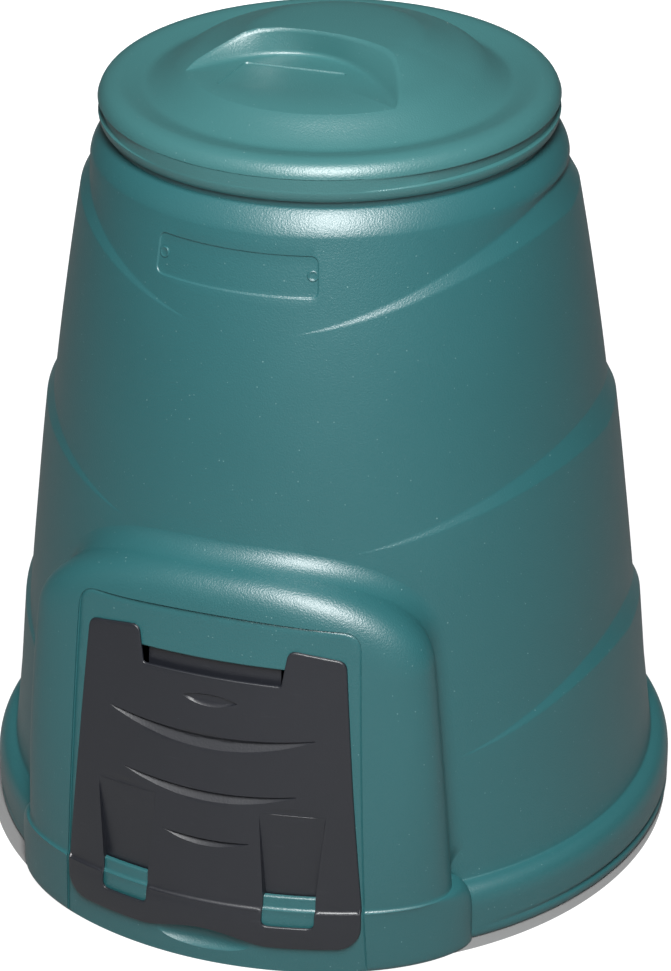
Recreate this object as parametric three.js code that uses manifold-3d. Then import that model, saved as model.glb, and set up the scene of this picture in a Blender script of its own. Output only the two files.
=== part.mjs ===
// Round garden compost bin with a push-on lid and a lift-up hatch at the foot.
// Three mouldings: a blow-moulded body, a lid and an injection-moulded hatch.
// Millimetres, +Z up. The origin lies on the ground under the middle of the bin,
// and the hatch looks along -Y.
import * as THREE from "three";
import { mergeVertices } from "three/addons/utils/BufferGeometryUtils.js";
import Module from "manifold-3d";

const wasm = await Module();
wasm.setup();

// Body wall
const footRadius = 370; // outermost radius of the foot bead
const footEdge = 8; // height of the rounding under the foot bead
const footTuck = 5; // how far that rounding draws in
const beadHeight = 61.5; // crease between the bead and the wall
const beadBellyZ = 34; // where the bead is widest
const beadProud = 13; // how far the bead stands out from the wall's line at the ground
const wallFlare = 24; // how much wider the wall's top is than the neck
const wallTopZ = 716;
const bodyWall = 4;

// Stepped bands that sweep up round each side
const ledgeStep = 3.6; // half of the step between the two edges of a band
const ledgeEdge = 1.5; // least height of a band, where it runs out
const lowLedgeZ = 201;
const lowLedgeRise = 57;
const lowLedgeBand = 20.5;
const midLedgeZ = 433.5;
const midLedgeRise = 63.5;
const midLedgeBand = 27.5;
const topLedgeZ = 653;
const topLedgeRise = 81;
const topLedgeBand = 27;

// Shoulder and neck
const neckRadius = 225;
const shoulderReach = 17.5; // from the neck out to the shoulder's edge
const shoulderZ = 745;
const shoulderRise = 25;
const neckEdge = 1.6; // chamfer at the neck's mouth

// Front hood
const faceProud = 36.6; // how far the hood's face, carried to the ground, is in front of the foot bead
const faceRadiusTop = 600; // sweep of the face across its upper part
const faceRadiusFoot = 351; // and at the ground
const faceBendZ = 340; // height where the sweep reaches its upper value
const hoodBendZ = 330; // where the hood's sides start to round over to its top
const hoodTopZ = 421;
const hoodSink = 2; // the hood's solid starts this far under the wall
const hoodBeadZ = 73; // crease between the hood and its foot bead
const hoodBeadProud = 32; // how far the hood's bead is in front of the foot bead
const hoodBeadTuck = 4; // the hood's bead ends this far inside the foot bead

// Recess and opening in the hood
const recessDepth = 3.2;
const recessOverEars = 28.8; // height of the recess above the hatch's ears
const recessCrown = 6.6; // rise of its top edge from the corners to the middle
const recessBesideEars = 13;
const recessBesideFoot = 6.5; // room beside the hatch at the bead
const recessCorner = 20;
const openingBeside = 5.3; // room in the opening beside the hatch's channels
const openingOverSlot = 16; // from the slot's floor up to the tab that the tongue goes behind
const openingCorner = 6;
const sillZ = 87; // top edge of the sill lip
const scoopHalf = 69; // finger scoop in the foot bead, under the hatch
const scoopZ = 29;
const scoopRise = 15;
const scoopDepth = 9;

// Hatch
const hatchPlate = 2.6;
const hatchPlay = 1.6; // room behind the tab, the sill and round the bead
const seatGap = 0.3; // between pieces that rest on each other
const earTopZ = 355.8;
const earDrop = 7.3; // how much lower the ears are at their outer side
const earOuterHalf = 136;
const earLean = 6; // how much wider the slot is at the ears' tops than at its floor
const earCorner = 9;
const slotZ = 317; // floor of the slot between the ears
const slotHalf = 73;
const slotCorner = 3;
const hatchMidHalf = 147.6; // half width at hatchMidZ
const hatchMidZ = 205;
const hatchFootHalf = 159.5; // half width at the bead crease
const flangeEndZ = 46;
const flangeLowZ = 31.5;
const flangeLowHalf = 146;
const flangeCorner = 10;
const archHalf = 68;
const archZ = 43;
const tonguePlay = 3; // room beside the tongue in the slot
const tongueHold = 19; // how far the tongue reaches up behind the tab
const tongueStep = 6; // height of the step that carries the tongue
const channelTopZ = 180;
const channelOuterTop = 122.7;
const channelInnerTop = 55.4;
const channelOuterFoot = 115;
const channelInnerFoot = 62.6;
const channelWall = 2.4;
const channelStep = 0.25; // the channel floor starts this far under the face
const windowUnderSill = 1.5; // top corner of a window under the sill's edge
const windowDrop = 31; // lower edge of a window under the sill's edge
const windowCorner = 7;
const tailDrop = 17; // how far the channel tongues reach down behind the sill

// Crescents pressed into the hatch: half width, tips, upper and lower edge at the middle
const bigHalf = 113;
const bigTipZ = 263.4;
const bigUpZ = 254.3;
const bigLowZ = 239.8;
const middleHalf = 96;
const middleTipZ = 201;
const middleUpZ = 193.9;
const middleLowZ = 183.1;
const smallHalf = 48;
const smallTipZ = 143.6;
const smallUpZ = 141.2;
const smallLowZ = 134;
const crescentDepth = 1.7;
const thumbHalf = 30;
const thumbTipZ = 293;
const thumbUpZ = 298.5;
const thumbLowZ = 285.5;
const thumbDepth = 1;

// Lid
const lidOverhang = 9; // how much further out the lid reaches than the neck
const lidLift = 8; // between the shoulder's top and the lid's lower edge
const lidSkirt = 26; // from the lower edge to the upper ridge of the skirt
const lidRoll = 11.6; // from that ridge to the flat top of the rolled rim
const lidBand = 4.6; // how far the shallow band inside the rim lies under it
const lidWall = 3.6;
const lidGroove = 4;
const gripX = -18; // the grip lies this far to the side of the lid's middle
const gripRise = 52; // from the band to the grip's top
const gripBackSwell = 16; // how much further the dome reaches behind the grip
const crestY = -3; // front edge of the grip's top at its middle
const crestSag = 40; // how far that edge runs forward at the scoop's half width
const scoopFloorRise = 23; // from the band to the scoop's floor
const scoopBackY = 4; // foot of the grip's undercut front wall
const scoopSag = 110;
const scoopFloorHalf = 125;
const scoopFrontY = -190;

const overrun = 6; // how far cuts run past what they cut

// Proportions without a unit
const wall_straight_share = 0.765;
const face_slope_share = 0.1425;
const bead_round_share = 2.6;
const ledge_bend_share = 1.2;
const bead_shares = [0.55, 0.72, 0.85, 0.94, 1]; // rows above the bead's belly
const shoulder_shares = [
  [1, 0],
  [0.86, 0.26],
  [0.64, 0.52],
  [0.25, 0.84],
  [0, 1],
];
// Radius as a share of lidRadius, with the rise between the heights named beside it
const skirt_shares = [
  [0.994, 0, 0],
  [1, 0.1, 0],
  [1, 0.3, 0],
  [0.9985, 0.5, 1],
  [0.9985, 0.82, 1],
  [0.9985, 1, 0],
];
const roll_shares = [
  [0.994, 0.5],
  [0.981, 0.84],
  [0.961, 1],
  [0.906, 1],
  [0.877, 0.5],
  [0.838, 0.16],
];
// Radius, height and how much of the swell behind the grip, from the band to the middle
const dome_shares = [
  [0.795, 0.02, 0],
  [0.752, 0.09, 0.1],
  [0.7, 0.23, 0.4],
  [0.64, 0.41, 0.8],
  [0.58, 0.54, 1],
  [0.5, 0.66, 1],
  [0.42, 0.8, 1],
  [0.37, 0.9, 1],
  [0.31, 0.965, 0.9],
  [0.22, 0.99, 0.5],
  [0.08, 1, 0],
];

// Angles in degrees
const lowLedgeAngle = 42;
const midLedgeAngle = 24;
const topLedgeAngle = 12;
const hoodAngle = 37;
const hoodSpreadAngle = 4.2;
const hoodBeadAngle = 43.5;
const grooveStartAngle = 26;
const grooveFullAngle = 60;

// Counts
const wallSides = 60;
const hoodSides = 24;
const lidSides = 48;
const quarter = Math.PI / 2;
const radians = Math.PI / 180;

// Derived places
const recessTopZ = earTopZ + recessOverEars;
const recessSideZ = recessTopZ - recessCrown; // height of the recess where its top corners start
const recessTopHalf = earOuterHalf + recessBesideEars; // half width under the top corners
const recessFootHalf = hatchFootHalf + recessBesideFoot; // half width at the ground
const openingHalf = channelOuterTop + openingBeside;
const openingTopZ = slotZ + openingOverSlot;
const earOuterZ = earTopZ - earDrop;
const earInnerHalf = slotHalf + earLean;
const tongueHalf = slotHalf - tonguePlay;
const tongueTopZ = openingTopZ + tongueHold;
const windowTopZ = sillZ - windowUnderSill;
const windowLowZ = sillZ - windowDrop;
const tailZ = sillZ - tailDrop; // lower end of the channel tongues behind the sill
const wallFootRadius = footRadius - beadProud; // the wall's line carried down to the ground
const wallTopRadius = neckRadius + wallFlare;
const shoulderRadius = neckRadius + shoulderReach;
const shoulderTopZ = shoulderZ + shoulderRise;
const faceReach = footRadius + faceProud; // from the bin's axis to the hood's face
const hoodBeadRadius = footRadius + hoodBeadProud;
const lidRadius = neckRadius + lidOverhang;
const lidEdgeZ = shoulderTopZ + lidLift;
const lidSkirtZ = lidEdgeZ + lidSkirt;
const lidRollZ = lidSkirtZ + lidRoll;
const lidBandZ = lidRollZ - lidBand;
const gripTopZ = lidBandZ + gripRise;
const scoopFloorZ = lidBandZ + scoopFloorRise;
const flangeRadius = hoodBeadRadius - recessDepth + hatchPlay + hatchPlate;
const axisY = (flangeRadius - footRadius) / 2;
const lidSeatZ = lidRollZ - lidWall;
const neckTopZ = lidSeatZ - seatGap;
const tongueDepth = recessDepth + bodyWall + hatchPlay;

// Solids from meshes
function solidOf(geometry) {
  const bare = geometry.clone();
  bare.deleteAttribute("normal");
  bare.deleteAttribute("uv");
  const merged = mergeVertices(bare);
  return new wasm.Manifold(
    new wasm.Mesh({
      numProp: 3,
      vertProperties: new Float32Array(merged.attributes.position.array),
      triVerts: new Uint32Array(merged.index.array),
    }),
  );
}

function geometryOf(solid) {
  const mesh = solid.getMesh();
  const places = new Float32Array(mesh.numVert * 3);
  for (let i = 0; i < mesh.numVert; i++) {
    const from = i * mesh.numProp;
    places.set(mesh.vertProperties.subarray(from, from + 3), i * 3);
  }
  return new THREE.BufferGeometry()
    .setAttribute("position", new THREE.BufferAttribute(places, 3))
    .setIndex(new THREE.BufferAttribute(new Uint32Array(mesh.triVerts), 1))
    .toNonIndexed();
}

function solidFrom(points, faces) {
  const geometry = new THREE.BufferGeometry();
  geometry.setAttribute("position", new THREE.Float32BufferAttribute(points.flat(), 3));
  geometry.setIndex(faces.flat());
  return solidOf(geometry);
}

// A loft through rings that all have as many points, closed by a fan at each end.
// Rings run anticlockwise, seen from the last ring's side.
function loft(rings) {
  const count = rings[0].length;
  const points = rings.flat();
  const faces = [];
  for (let k = 0; k + 1 < rings.length; k++)
    for (let i = 0; i < count; i++) {
      const a = k * count + i;
      const b = k * count + ((i + 1) % count);
      faces.push([a, b, b + count], [a, b + count, a + count]);
    }
  for (const end of [0, rings.length - 1]) {
    const middle = [0, 1, 2].map((c) => rings[end].reduce((sum, p) => sum + p[c], 0) / count);
    points.push(middle);
    for (let i = 0; i < count; i++) {
      const a = end * count + i;
      const b = end * count + ((i + 1) % count);
      faces.push(end ? [points.length - 1, a, b] : [points.length - 1, b, a]);
    }
  }
  return solidFrom(points, faces);
}

// A curved plate between two surfaces y = near(x, z) and y = far(x, z)
function plate(near, far, half, heights, across) {
  const up = heights.length - 1;
  const points = [];
  const faces = [];
  for (const side of [near, far])
    for (let k = 0; k <= up; k++)
      for (let i = 0; i <= across; i++) {
        const x = -half + (2 * half * i) / across;
        const z = heights[k];
        points.push([x, side(x, z), z]);
      }
  const at = (side, k, i) => (side * (up + 1) + k) * (across + 1) + i;
  const quad = (a, b, c, d) => faces.push([a, b, c], [a, c, d]);
  for (let k = 0; k < up; k++)
    for (let i = 0; i < across; i++) {
      quad(at(0, k, i), at(0, k, i + 1), at(0, k + 1, i + 1), at(0, k + 1, i));
      quad(at(1, k, i), at(1, k + 1, i), at(1, k + 1, i + 1), at(1, k, i + 1));
    }
  for (let k = 0; k < up; k++) {
    quad(at(0, k, 0), at(0, k + 1, 0), at(1, k + 1, 0), at(1, k, 0));
    quad(at(0, k, across), at(1, k, across), at(1, k + 1, across), at(0, k + 1, across));
  }
  for (let i = 0; i < across; i++) {
    quad(at(0, 0, i), at(1, 0, i), at(1, 0, i + 1), at(0, 0, i + 1));
    quad(at(0, up, i), at(0, up, i + 1), at(1, up, i + 1), at(1, up, i));
  }
  return solidFrom(points, faces);
}

// A prism along Y whose outline is given in x and z as [x, z, corner radius]
function prism(outline) {
  const shape = new THREE.Shape();
  const count = outline.length;
  outline.forEach(([x, z, round], i) => {
    const here = new THREE.Vector2(x, z);
    const before = outline[(i + count - 1) % count];
    const after = outline[(i + 1) % count];
    const back = new THREE.Vector2(before[0], before[1]).sub(here);
    const ahead = new THREE.Vector2(after[0], after[1]).sub(here);
    const reach = Math.min(round, back.length() / 2, ahead.length() / 2);
    const start = here.clone().addScaledVector(back.normalize(), reach);
    const end = here.clone().addScaledVector(ahead.normalize(), reach);
    if (i) shape.lineTo(start.x, start.y);
    else shape.moveTo(start.x, start.y);
    if (reach) shape.quadraticCurveTo(here.x, here.y, end.x, end.y);
  });
  const geometry = new THREE.ExtrudeGeometry(shape, {
    depth: faceReach,
    bevelEnabled: false,
    curveSegments: 5,
  });
  geometry.rotateX(quarter);
  return solidOf(geometry);
}

const mirrored = (half) => [...half, ...half.map(([x, z, round]) => [-x, z, round]).reverse()];

// Wall of the body: radius at a height, without the bands
function wallRadius(z) {
  const t = z / wallTopZ;
  const drop = wall_straight_share * t + (1 - wall_straight_share) * t ** 3;
  return wallFootRadius - (wallFootRadius - wallTopRadius) * drop;
}

// How far the bead has swelled out at a height, from 0 at its crease to 1 at its belly
function beadSwell(z, creaseZ) {
  const t = Math.min(1, Math.max(0, (z - beadBellyZ) / (creaseZ - beadBellyZ)));
  return (1 - t ** bead_round_share) ** (1 / bead_round_share);
}

// How far the rounding under the bead draws in at a height
function beadTuck(z) {
  const t = Math.min(1, Math.max(0, 1 - z / footEdge));
  return footTuck * (1 - Math.sqrt(1 - t ** 2));
}

const ledges = [
  [lowLedgeAngle, lowLedgeZ, lowLedgeRise, lowLedgeBand],
  [midLedgeAngle, midLedgeZ, midLedgeRise, midLedgeBand],
  [topLedgeAngle, topLedgeZ, topLedgeRise, topLedgeBand],
];

// The wall's section at an angle from the front, as [radius, z] from the ground up
function wallSection(degrees) {
  const folded = Math.min(Math.abs(degrees), 180 - Math.abs(degrees));
  const crease = wallRadius(beadHeight);
  const bead = (z) => crease + (footRadius - crease) * beadSwell(z, beadHeight) - beadTuck(z);
  const rows = [0, footEdge * 0.4, footEdge, ...bead_shares.map((s) => s * beadHeight)].map(
    (z) => [bead(z), z],
  );
  let below = beadHeight;
  for (const [tip, z, rise, band] of ledges) {
    const along = Math.max(0, (folded - tip) / (90 - tip));
    const top = z + rise * Math.sin(along * quarter) ** ledge_bend_share;
    const low = top - Math.max(ledgeEdge, band * along);
    const middle = (below + low) / 2;
    rows.push([wallRadius(middle), middle]);
    rows.push([wallRadius(low) + ledgeStep * along, low]);
    rows.push([wallRadius(top) - ledgeStep * along, top]);
    below = top;
  }
  const reach = shoulderRadius - neckRadius;
  for (const [out, up] of shoulder_shares)
    rows.push([neckRadius + reach * out, shoulderZ + (shoulderTopZ - shoulderZ) * up]);
  return rows;
}

// The same section moved inwards by a wall
function inwards(rows, wall) {
  return rows.map(([r, z], i) => {
    const [r0, z0] = rows[Math.max(0, i - 1)];
    const [r1, z1] = rows[Math.min(rows.length - 1, i + 1)];
    const length = Math.hypot(r1 - r0, z1 - z0);
    return [r - (wall * (z1 - z0)) / length, z + (wall * (r1 - r0)) / length];
  });
}

const turned = (r, degrees, z) => [
  r * Math.sin(degrees * radians),
  axisY - r * Math.cos(degrees * radians),
  z,
];

function roundSolid(sides, section) {
  const sections = Array.from({ length: sides }, (_, i) => section((360 * i) / sides - 180));
  return loft(
    sections[0].map((_, k) =>
      sections.map((rows, i) => turned(rows[k][0], (360 * i) / sides - 180, rows[k][1])),
    ),
  );
}

const outerSection = (degrees) => [
  ...wallSection(degrees),
  [neckRadius, neckTopZ - neckEdge],
  [neckRadius - neckEdge, neckTopZ],
];
const innerSection = (degrees) => {
  const rows = inwards(wallSection(degrees), bodyWall);
  const [footR] = rows[0];
  return [
    [footR, -overrun],
    ...rows.filter((_, i) => i > 1 && i !== 3 && i !== 5 && i < rows.length - 1),
    [neckRadius - bodyWall, shoulderTopZ],
    [neckRadius - bodyWall, neckTopZ + overrun],
  ];
};

// Hood: the face is a plane that leans back with a sweep across it
function faceCurve(z) {
  const low = Math.max(0, 1 - z / faceBendZ) ** 2;
  return (1 - low) / (2 * faceRadiusTop) + low / (2 * faceRadiusFoot);
}

// y of the hood's face moved inwards by a depth
const faceY = (x, z, depth) =>
  axisY - (faceReach - face_slope_share * z) + faceCurve(z) * x * x + depth;

// Distance from the axis to the face at an angle
function faceRange(degrees, z, depth) {
  const reach = faceReach - face_slope_share * z - depth;
  const across = Math.sin(degrees * radians) ** 2 * faceCurve(z);
  const along = Math.cos(degrees * radians);
  return (2 * reach) / (along + Math.sqrt(along ** 2 + 4 * across * reach));
}

function hoodRing(z, inset) {
  const topZ = hoodTopZ - inset;
  const lift = Math.max(0, (z - hoodBendZ) / (topZ - hoodBendZ));
  const spread = hoodAngle + hoodSpreadAngle * Math.max(0, 1 - z / hoodBendZ);
  const narrowed = spread - inset / footRadius / radians;
  const half = narrowed * Math.max(0, 1 - lift ** 2) ** (1 / 2.6);
  const base = wallRadius(z) - hoodSink - inset;
  const ring = [];
  for (let i = 0; i <= hoodSides; i++) {
    const degrees = half * Math.sin(quarter * ((2 * i) / hoodSides - 1));
    const edge = Math.sqrt(Math.abs(degrees / narrowed) ** 2.6 + lift ** 2);
    const swell = Math.max(0, 1 - edge ** 6) ** (1 / 3);
    const r = base + (faceRange(degrees, z, inset) - base) * swell;
    ring.push(turned(r, degrees, z));
  }
  return ring;
}

function hoodBeadRing(z, inset) {
  const crease = hoodRing(hoodBeadZ - inset, inset);
  const swell = beadSwell(z, hoodBeadZ - inset);
  const half = hoodBeadAngle - inset / footRadius / radians;
  const foot = footRadius - hoodBeadTuck - inset;
  const belly = hoodBeadRadius - inset - beadTuck(z);
  return crease.map(([x, y], i) => {
    const degrees = half * Math.sin(quarter * ((2 * i) / hoodSides - 1));
    const fade = Math.max(0, 1 - Math.abs(degrees / half) ** 6) ** (1 / 1.6);
    const [bx, by] = turned(foot + (belly - foot) * fade, degrees, z);
    return [x + (bx - x) * swell, y + (by - y) * swell, z];
  });
}

function hoodSolid(inset, heights, beadHeights) {
  return loft([
    ...beadHeights.map((z) => hoodBeadRing(z, inset)),
    ...heights.map((z) => hoodRing(z, inset)),
  ]);
}

const spanTo = (low, high, shares) => shares.map((s) => low + (high - low) * s);
const hoodOuter = hoodSolid(
  0,
  [
    hoodBeadZ,
    ...spanTo(hoodBeadZ, hoodBendZ, [0.35, 0.7, 1]),
    ...spanTo(hoodBendZ, hoodTopZ, [0.3, 0.5, 0.66, 0.79, 0.88, 0.94, 0.98, 0.997]),
  ],
  [0, footEdge * 0.4, footEdge, beadBellyZ, ...spanTo(beadBellyZ, hoodBeadZ, [0.5, 0.8, 0.95])],
);
const hoodInner = hoodSolid(
  bodyWall,
  [
    hoodBeadZ - bodyWall,
    ...spanTo(hoodBeadZ, hoodBendZ, [0.35, 0.7, 1]),
    ...spanTo(hoodBendZ, hoodTopZ - bodyWall, [0.4, 0.66, 0.83, 0.93, 0.98]),
  ],
  [-overrun, beadBellyZ, ...spanTo(beadBellyZ, hoodBeadZ - bodyWall, [0.6, 0.9])],
);

// The recess: everything in front of the face moved in by a depth, inside its outline
function recessOutline(grow) {
  return mirrored([
    [recessFootHalf + grow, -overrun, 0],
    [recessTopHalf + grow, recessSideZ + grow, recessCorner],
    [0, recessTopZ + grow, recessTopHalf],
  ]).filter((_, i) => i !== 3);
}

// y of the bead on the hood, moved inwards by a depth
function hoodBeadY(x, z, radius, faceDepth) {
  const crease = faceY(x, hoodBeadZ, faceDepth);
  const belly = axisY - Math.sqrt(radius ** 2 - x ** 2);
  return crease + (belly - crease) * beadSwell(z, hoodBeadZ);
}

const frontY = (x, z, depth, radius) =>
  z < hoodBeadZ ? hoodBeadY(x, z, radius, depth) : faceY(x, z, depth);
const before = (x, z) => faceY(x, z, 0) - faceReach / 4;

function recessCut(depth, grow) {
  const floor = (x, z) => frontY(x, z, depth, hoodBeadRadius - depth);
  const half = recessFootHalf + grow + overrun;
  const heights = [
    -overrun,
    beadBellyZ,
    ...spanTo(beadBellyZ, hoodBeadZ, [0.5, 0.8, 0.95, 1]),
    ...spanTo(hoodBeadZ, recessTopZ + grow + overrun, [0.3, 0.62, 1]),
  ];
  return plate(before, floor, half, heights, 14).intersect(prism(recessOutline(grow)));
}

const openingCut = prism(
  mirrored([
    [openingHalf, sillZ, 0],
    [openingHalf, openingTopZ, openingCorner],
  ]),
);

// Finger scoop in the bead under the hatch, and the wall behind it
function scoopCut(grow) {
  const ball = new THREE.SphereGeometry(1, 20, 12);
  ball.scale(scoopHalf + grow, scoopDepth * 2 + grow, scoopRise + grow);
  ball.translate(0, axisY - hoodBeadRadius + recessDepth - scoopDepth, scoopZ);
  return solidOf(ball);
}

function bodySolid() {
  const outer = roundSolid(wallSides, outerSection).add(hoodOuter);
  const hollow = roundSolid(wallSides, innerSection).add(hoodInner);
  const cavity = hollow
    .subtract(recessCut(recessDepth + bodyWall, bodyWall))
    .subtract(scoopCut(bodyWall));
  return outer
    .subtract(recessCut(recessDepth, 0))
    .subtract(scoopCut(0))
    .subtract(cavity)
    .subtract(openingCut);
}

// Hatch: the outline of its plate, down to the flange's edge
const hatchOutline = mirrored([
  [0, archZ, 0],
  [archHalf * 0.5, archZ - (archZ - flangeLowZ) * 0.3, 0],
  [archHalf, flangeLowZ, flangeCorner],
  [flangeLowHalf, flangeLowZ, flangeCorner],
  [hatchFootHalf, flangeEndZ, flangeCorner],
  [hatchFootHalf, hoodBeadZ, 0],
  [hatchMidHalf, hatchMidZ, 0],
  [earOuterHalf, earOuterZ, earCorner],
  [earInnerHalf, earTopZ, earCorner],
  [slotHalf, slotZ, slotCorner],
]).filter((_, i, all) => i !== all.length - 1);

// Depth of a channel's floor, sinking from its top to the sill
const sink = (z) =>
  channelStep +
  (tongueDepth - channelStep) *
    Math.min(1, Math.max(0, (channelTopZ - z) / (channelTopZ - sillZ)));

function channelOutline(side, grow, lowZ) {
  return [
    [side * (channelInnerFoot - grow), lowZ, 0],
    [side * (channelOuterFoot + grow), lowZ, 0],
    [side * (channelOuterTop + grow), channelTopZ + grow, 0],
    [side * (channelInnerTop - grow), channelTopZ + grow, 0],
  ];
}

// A plate across the hatch, cut to an outline
function cutPlate(near, far, heights, outline) {
  return plate(near, far, hatchFootHalf + overrun, heights, 12).intersect(prism(outline));
}

// A crescent pressed into the face: a V section that runs out at both tips
function crescent(half, tipZ, upZ, lowZ, depth) {
  const steps = 10;
  const rings = [];
  for (let i = 0; i <= steps; i++) {
    const x = 0.999 * half * Math.sin(quarter * ((2 * i) / steps - 1));
    const open = 1 - (x / half) ** 2;
    const top = tipZ + (upZ - tipZ) * open;
    const low = tipZ + (lowZ - tipZ) * open;
    const deep = top - (top - low) * 0.35;
    rings.push([
      [x, faceY(x, top, 0), top],
      [x, faceY(x, deep, depth * Math.sqrt(open)), deep],
      [x, faceY(x, low, 0), low],
      [x, faceY(x, deep, -overrun), deep],
    ]);
  }
  return loft(rings.map((ring) => ring.slice().reverse()));
}

function hatchSolid() {
  const skin = cutPlate(
    (x, z) => frontY(x, z, 0, flangeRadius),
    (x, z) => frontY(x, z, hatchPlate, flangeRadius - hatchPlate),
    [
      flangeLowZ - overrun,
      ...spanTo(beadBellyZ, hoodBeadZ, [0, 0.5, 0.8, 0.95, 1]),
      ...spanTo(hoodBeadZ, earTopZ + overrun, [0.16, 0.4, 0.7, 1]),
    ],
    hatchOutline,
  );
  const middle = hatchPlate / 2;
  const depth = (d) => (x, z) => faceY(x, z, d);
  const stepLow = slotZ - tongueStep - hatchPlate;
  const step = cutPlate(
    depth(middle),
    depth(tongueDepth + middle),
    [stepLow, slotZ - tongueStep],
    mirrored([
      [tongueHalf, stepLow, 0],
      [tongueHalf, slotZ - tongueStep, 0],
    ]),
  );
  const tongue = cutPlate(
    depth(tongueDepth),
    depth(tongueDepth + hatchPlate),
    [stepLow, tongueTopZ],
    mirrored([
      [tongueHalf, stepLow, 0],
      [tongueHalf, tongueTopZ, slotCorner],
    ]),
  );
  let hatch = skin.add(step).add(tongue);
  for (const side of [-1, 1]) {
    const walls = cutPlate(
      depth(middle),
      (x, z) => faceY(x, z, sink(z) + hatchPlate),
      [sillZ + seatGap, ...spanTo(sillZ, channelTopZ, [0.33, 0.66, 1]), channelTopZ + channelWall],
      channelOutline(side, channelWall, sillZ + seatGap),
    );
    const hollow = cutPlate(
      depth(-overrun * 2),
      depth(tongueDepth + hatchPlate + overrun),
      [windowLowZ - overrun, channelTopZ + overrun],
      [
        [side * channelInnerFoot, windowLowZ, windowCorner],
        [side * channelOuterFoot, windowLowZ, windowCorner],
        [side * channelOuterFoot, windowTopZ, 0],
        [side * channelOuterTop, channelTopZ, 0],
        [side * channelInnerTop, channelTopZ, 0],
        [side * channelInnerFoot, windowTopZ, 0],
      ],
    );
    const floor = cutPlate(
      (x, z) => faceY(x, z, sink(z)),
      (x, z) => faceY(x, z, sink(z) + hatchPlate),
      [tailZ, ...spanTo(sillZ, channelTopZ, [0, 0.33, 0.66, 1]), channelTopZ + channelWall],
      channelOutline(side, channelWall / 2, tailZ),
    );
    hatch = hatch.add(walls).subtract(hollow).add(floor);
  }
  return hatch
    .subtract(crescent(bigHalf, bigTipZ, bigUpZ, bigLowZ, crescentDepth))
    .subtract(crescent(middleHalf, middleTipZ, middleUpZ, middleLowZ, crescentDepth))
    .subtract(crescent(smallHalf, smallTipZ, smallUpZ, smallLowZ, crescentDepth))
    .subtract(crescent(thumbHalf, thumbTipZ, thumbUpZ, thumbLowZ, thumbDepth));
}

// Lid
function lidSection(degrees) {
  const away = (Math.abs(degrees) - grooveStartAngle) / (grooveFullAngle - grooveStartAngle);
  const fade = Math.min(1, Math.max(0, away));
  const behind = Math.max(0, -Math.cos(degrees * radians));
  return [
    ...skirt_shares.map(([out, up, groove]) => [
      lidRadius * out - lidGroove * groove * fade,
      lidEdgeZ + (lidSkirtZ - lidEdgeZ) * up,
    ]),
    ...roll_shares.map(([out, up], i) => {
      const from = i < 4 ? lidSkirtZ : lidBandZ;
      return [lidRadius * out, from + (lidRollZ - from) * up];
    }),
    ...dome_shares.map(([out, up, swell]) => [
      lidRadius * out + gripBackSwell * swell * behind,
      lidBandZ + (gripTopZ - lidBandZ) * up,
    ]),
  ];
}

const lidInner = (degrees) => {
  const rows = inwards(lidSection(degrees), lidWall);
  return [[rows[1][0], lidEdgeZ - overrun], ...rows.filter((_, i) => i && i !== 17 && i !== 22)];
};

// What the fingers reach into: a flat floor and a front wall that leans over it
function gripScoop(grow) {
  const steps = 16;
  const leanZ = (gripTopZ + overrun - scoopFloorZ) / (gripTopZ - scoopFloorZ);
  const ring = (z, lean) => {
    const y = scoopBackY + (crestY - scoopBackY) * lean;
    const sag = scoopSag + (crestSag - scoopSag) * lean;
    const half = scoopFloorHalf + grow;
    const line = [];
    for (let i = 0; i <= steps; i++) {
      const u = 1 - (2 * i) / steps;
      line.push([gripX + half * u, axisY + y + grow - sag * u * u, z]);
    }
    line.push([gripX - half, axisY + scoopFrontY, z]);
    line.push([gripX + half, axisY + scoopFrontY, z]);
    return line;
  };
  return loft([ring(scoopFloorZ - grow, 0), ring(gripTopZ + overrun, leanZ)]);
}

function lidSolid() {
  const outer = roundSolid(lidSides, lidSection);
  const hollow = roundSolid(lidSides, lidInner);
  return outer.subtract(gripScoop(0)).subtract(hollow.subtract(gripScoop(lidWall)));
}

// Materials and nodes
const green = new THREE.MeshStandardMaterial({ color: 0x3f7a7a, roughness: 0.42, metalness: 0 });
const lidGreen = new THREE.MeshStandardMaterial({ color: 0x478080, roughness: 0.4, metalness: 0 });
const black = new THREE.MeshStandardMaterial({ color: 0x34363d, roughness: 0.45, metalness: 0 });

const bin = new THREE.Group();
function addPiece(name, solid, material) {
  const geometry = geometryOf(solid);
  geometry.computeVertexNormals();
  const mesh = new THREE.Mesh(geometry, material);
  mesh.name = name;
  bin.add(mesh);
}

addPiece("body", bodySolid(), green);
addPiece("hatch", hatchSolid(), black);
addPiece("lid", lidSolid(), lidGreen);

export default bin;
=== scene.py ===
"""Garden compost bin with a push-on lid and a lift-up hatch: fine mouldings, finishes and studio."""

import math

import bmesh
import bpy
import numpy as np
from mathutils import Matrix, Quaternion, Vector, geometry


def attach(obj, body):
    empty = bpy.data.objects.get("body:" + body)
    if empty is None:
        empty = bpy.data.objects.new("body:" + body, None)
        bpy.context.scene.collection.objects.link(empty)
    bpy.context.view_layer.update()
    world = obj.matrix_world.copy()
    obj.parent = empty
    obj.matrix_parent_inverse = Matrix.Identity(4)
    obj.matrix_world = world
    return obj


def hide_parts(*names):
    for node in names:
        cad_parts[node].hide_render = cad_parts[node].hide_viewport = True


bl_info = {
    "name": "Compost bin with lid",
    "version": (1, 0, 0),
    "blender": (4, 5, 0),
    "location": "3D View > Sidebar > Compost bin",
    "description": "Builds the shell, hatch and lid of a round garden compost bin",
    "category": "Object",
}

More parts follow.
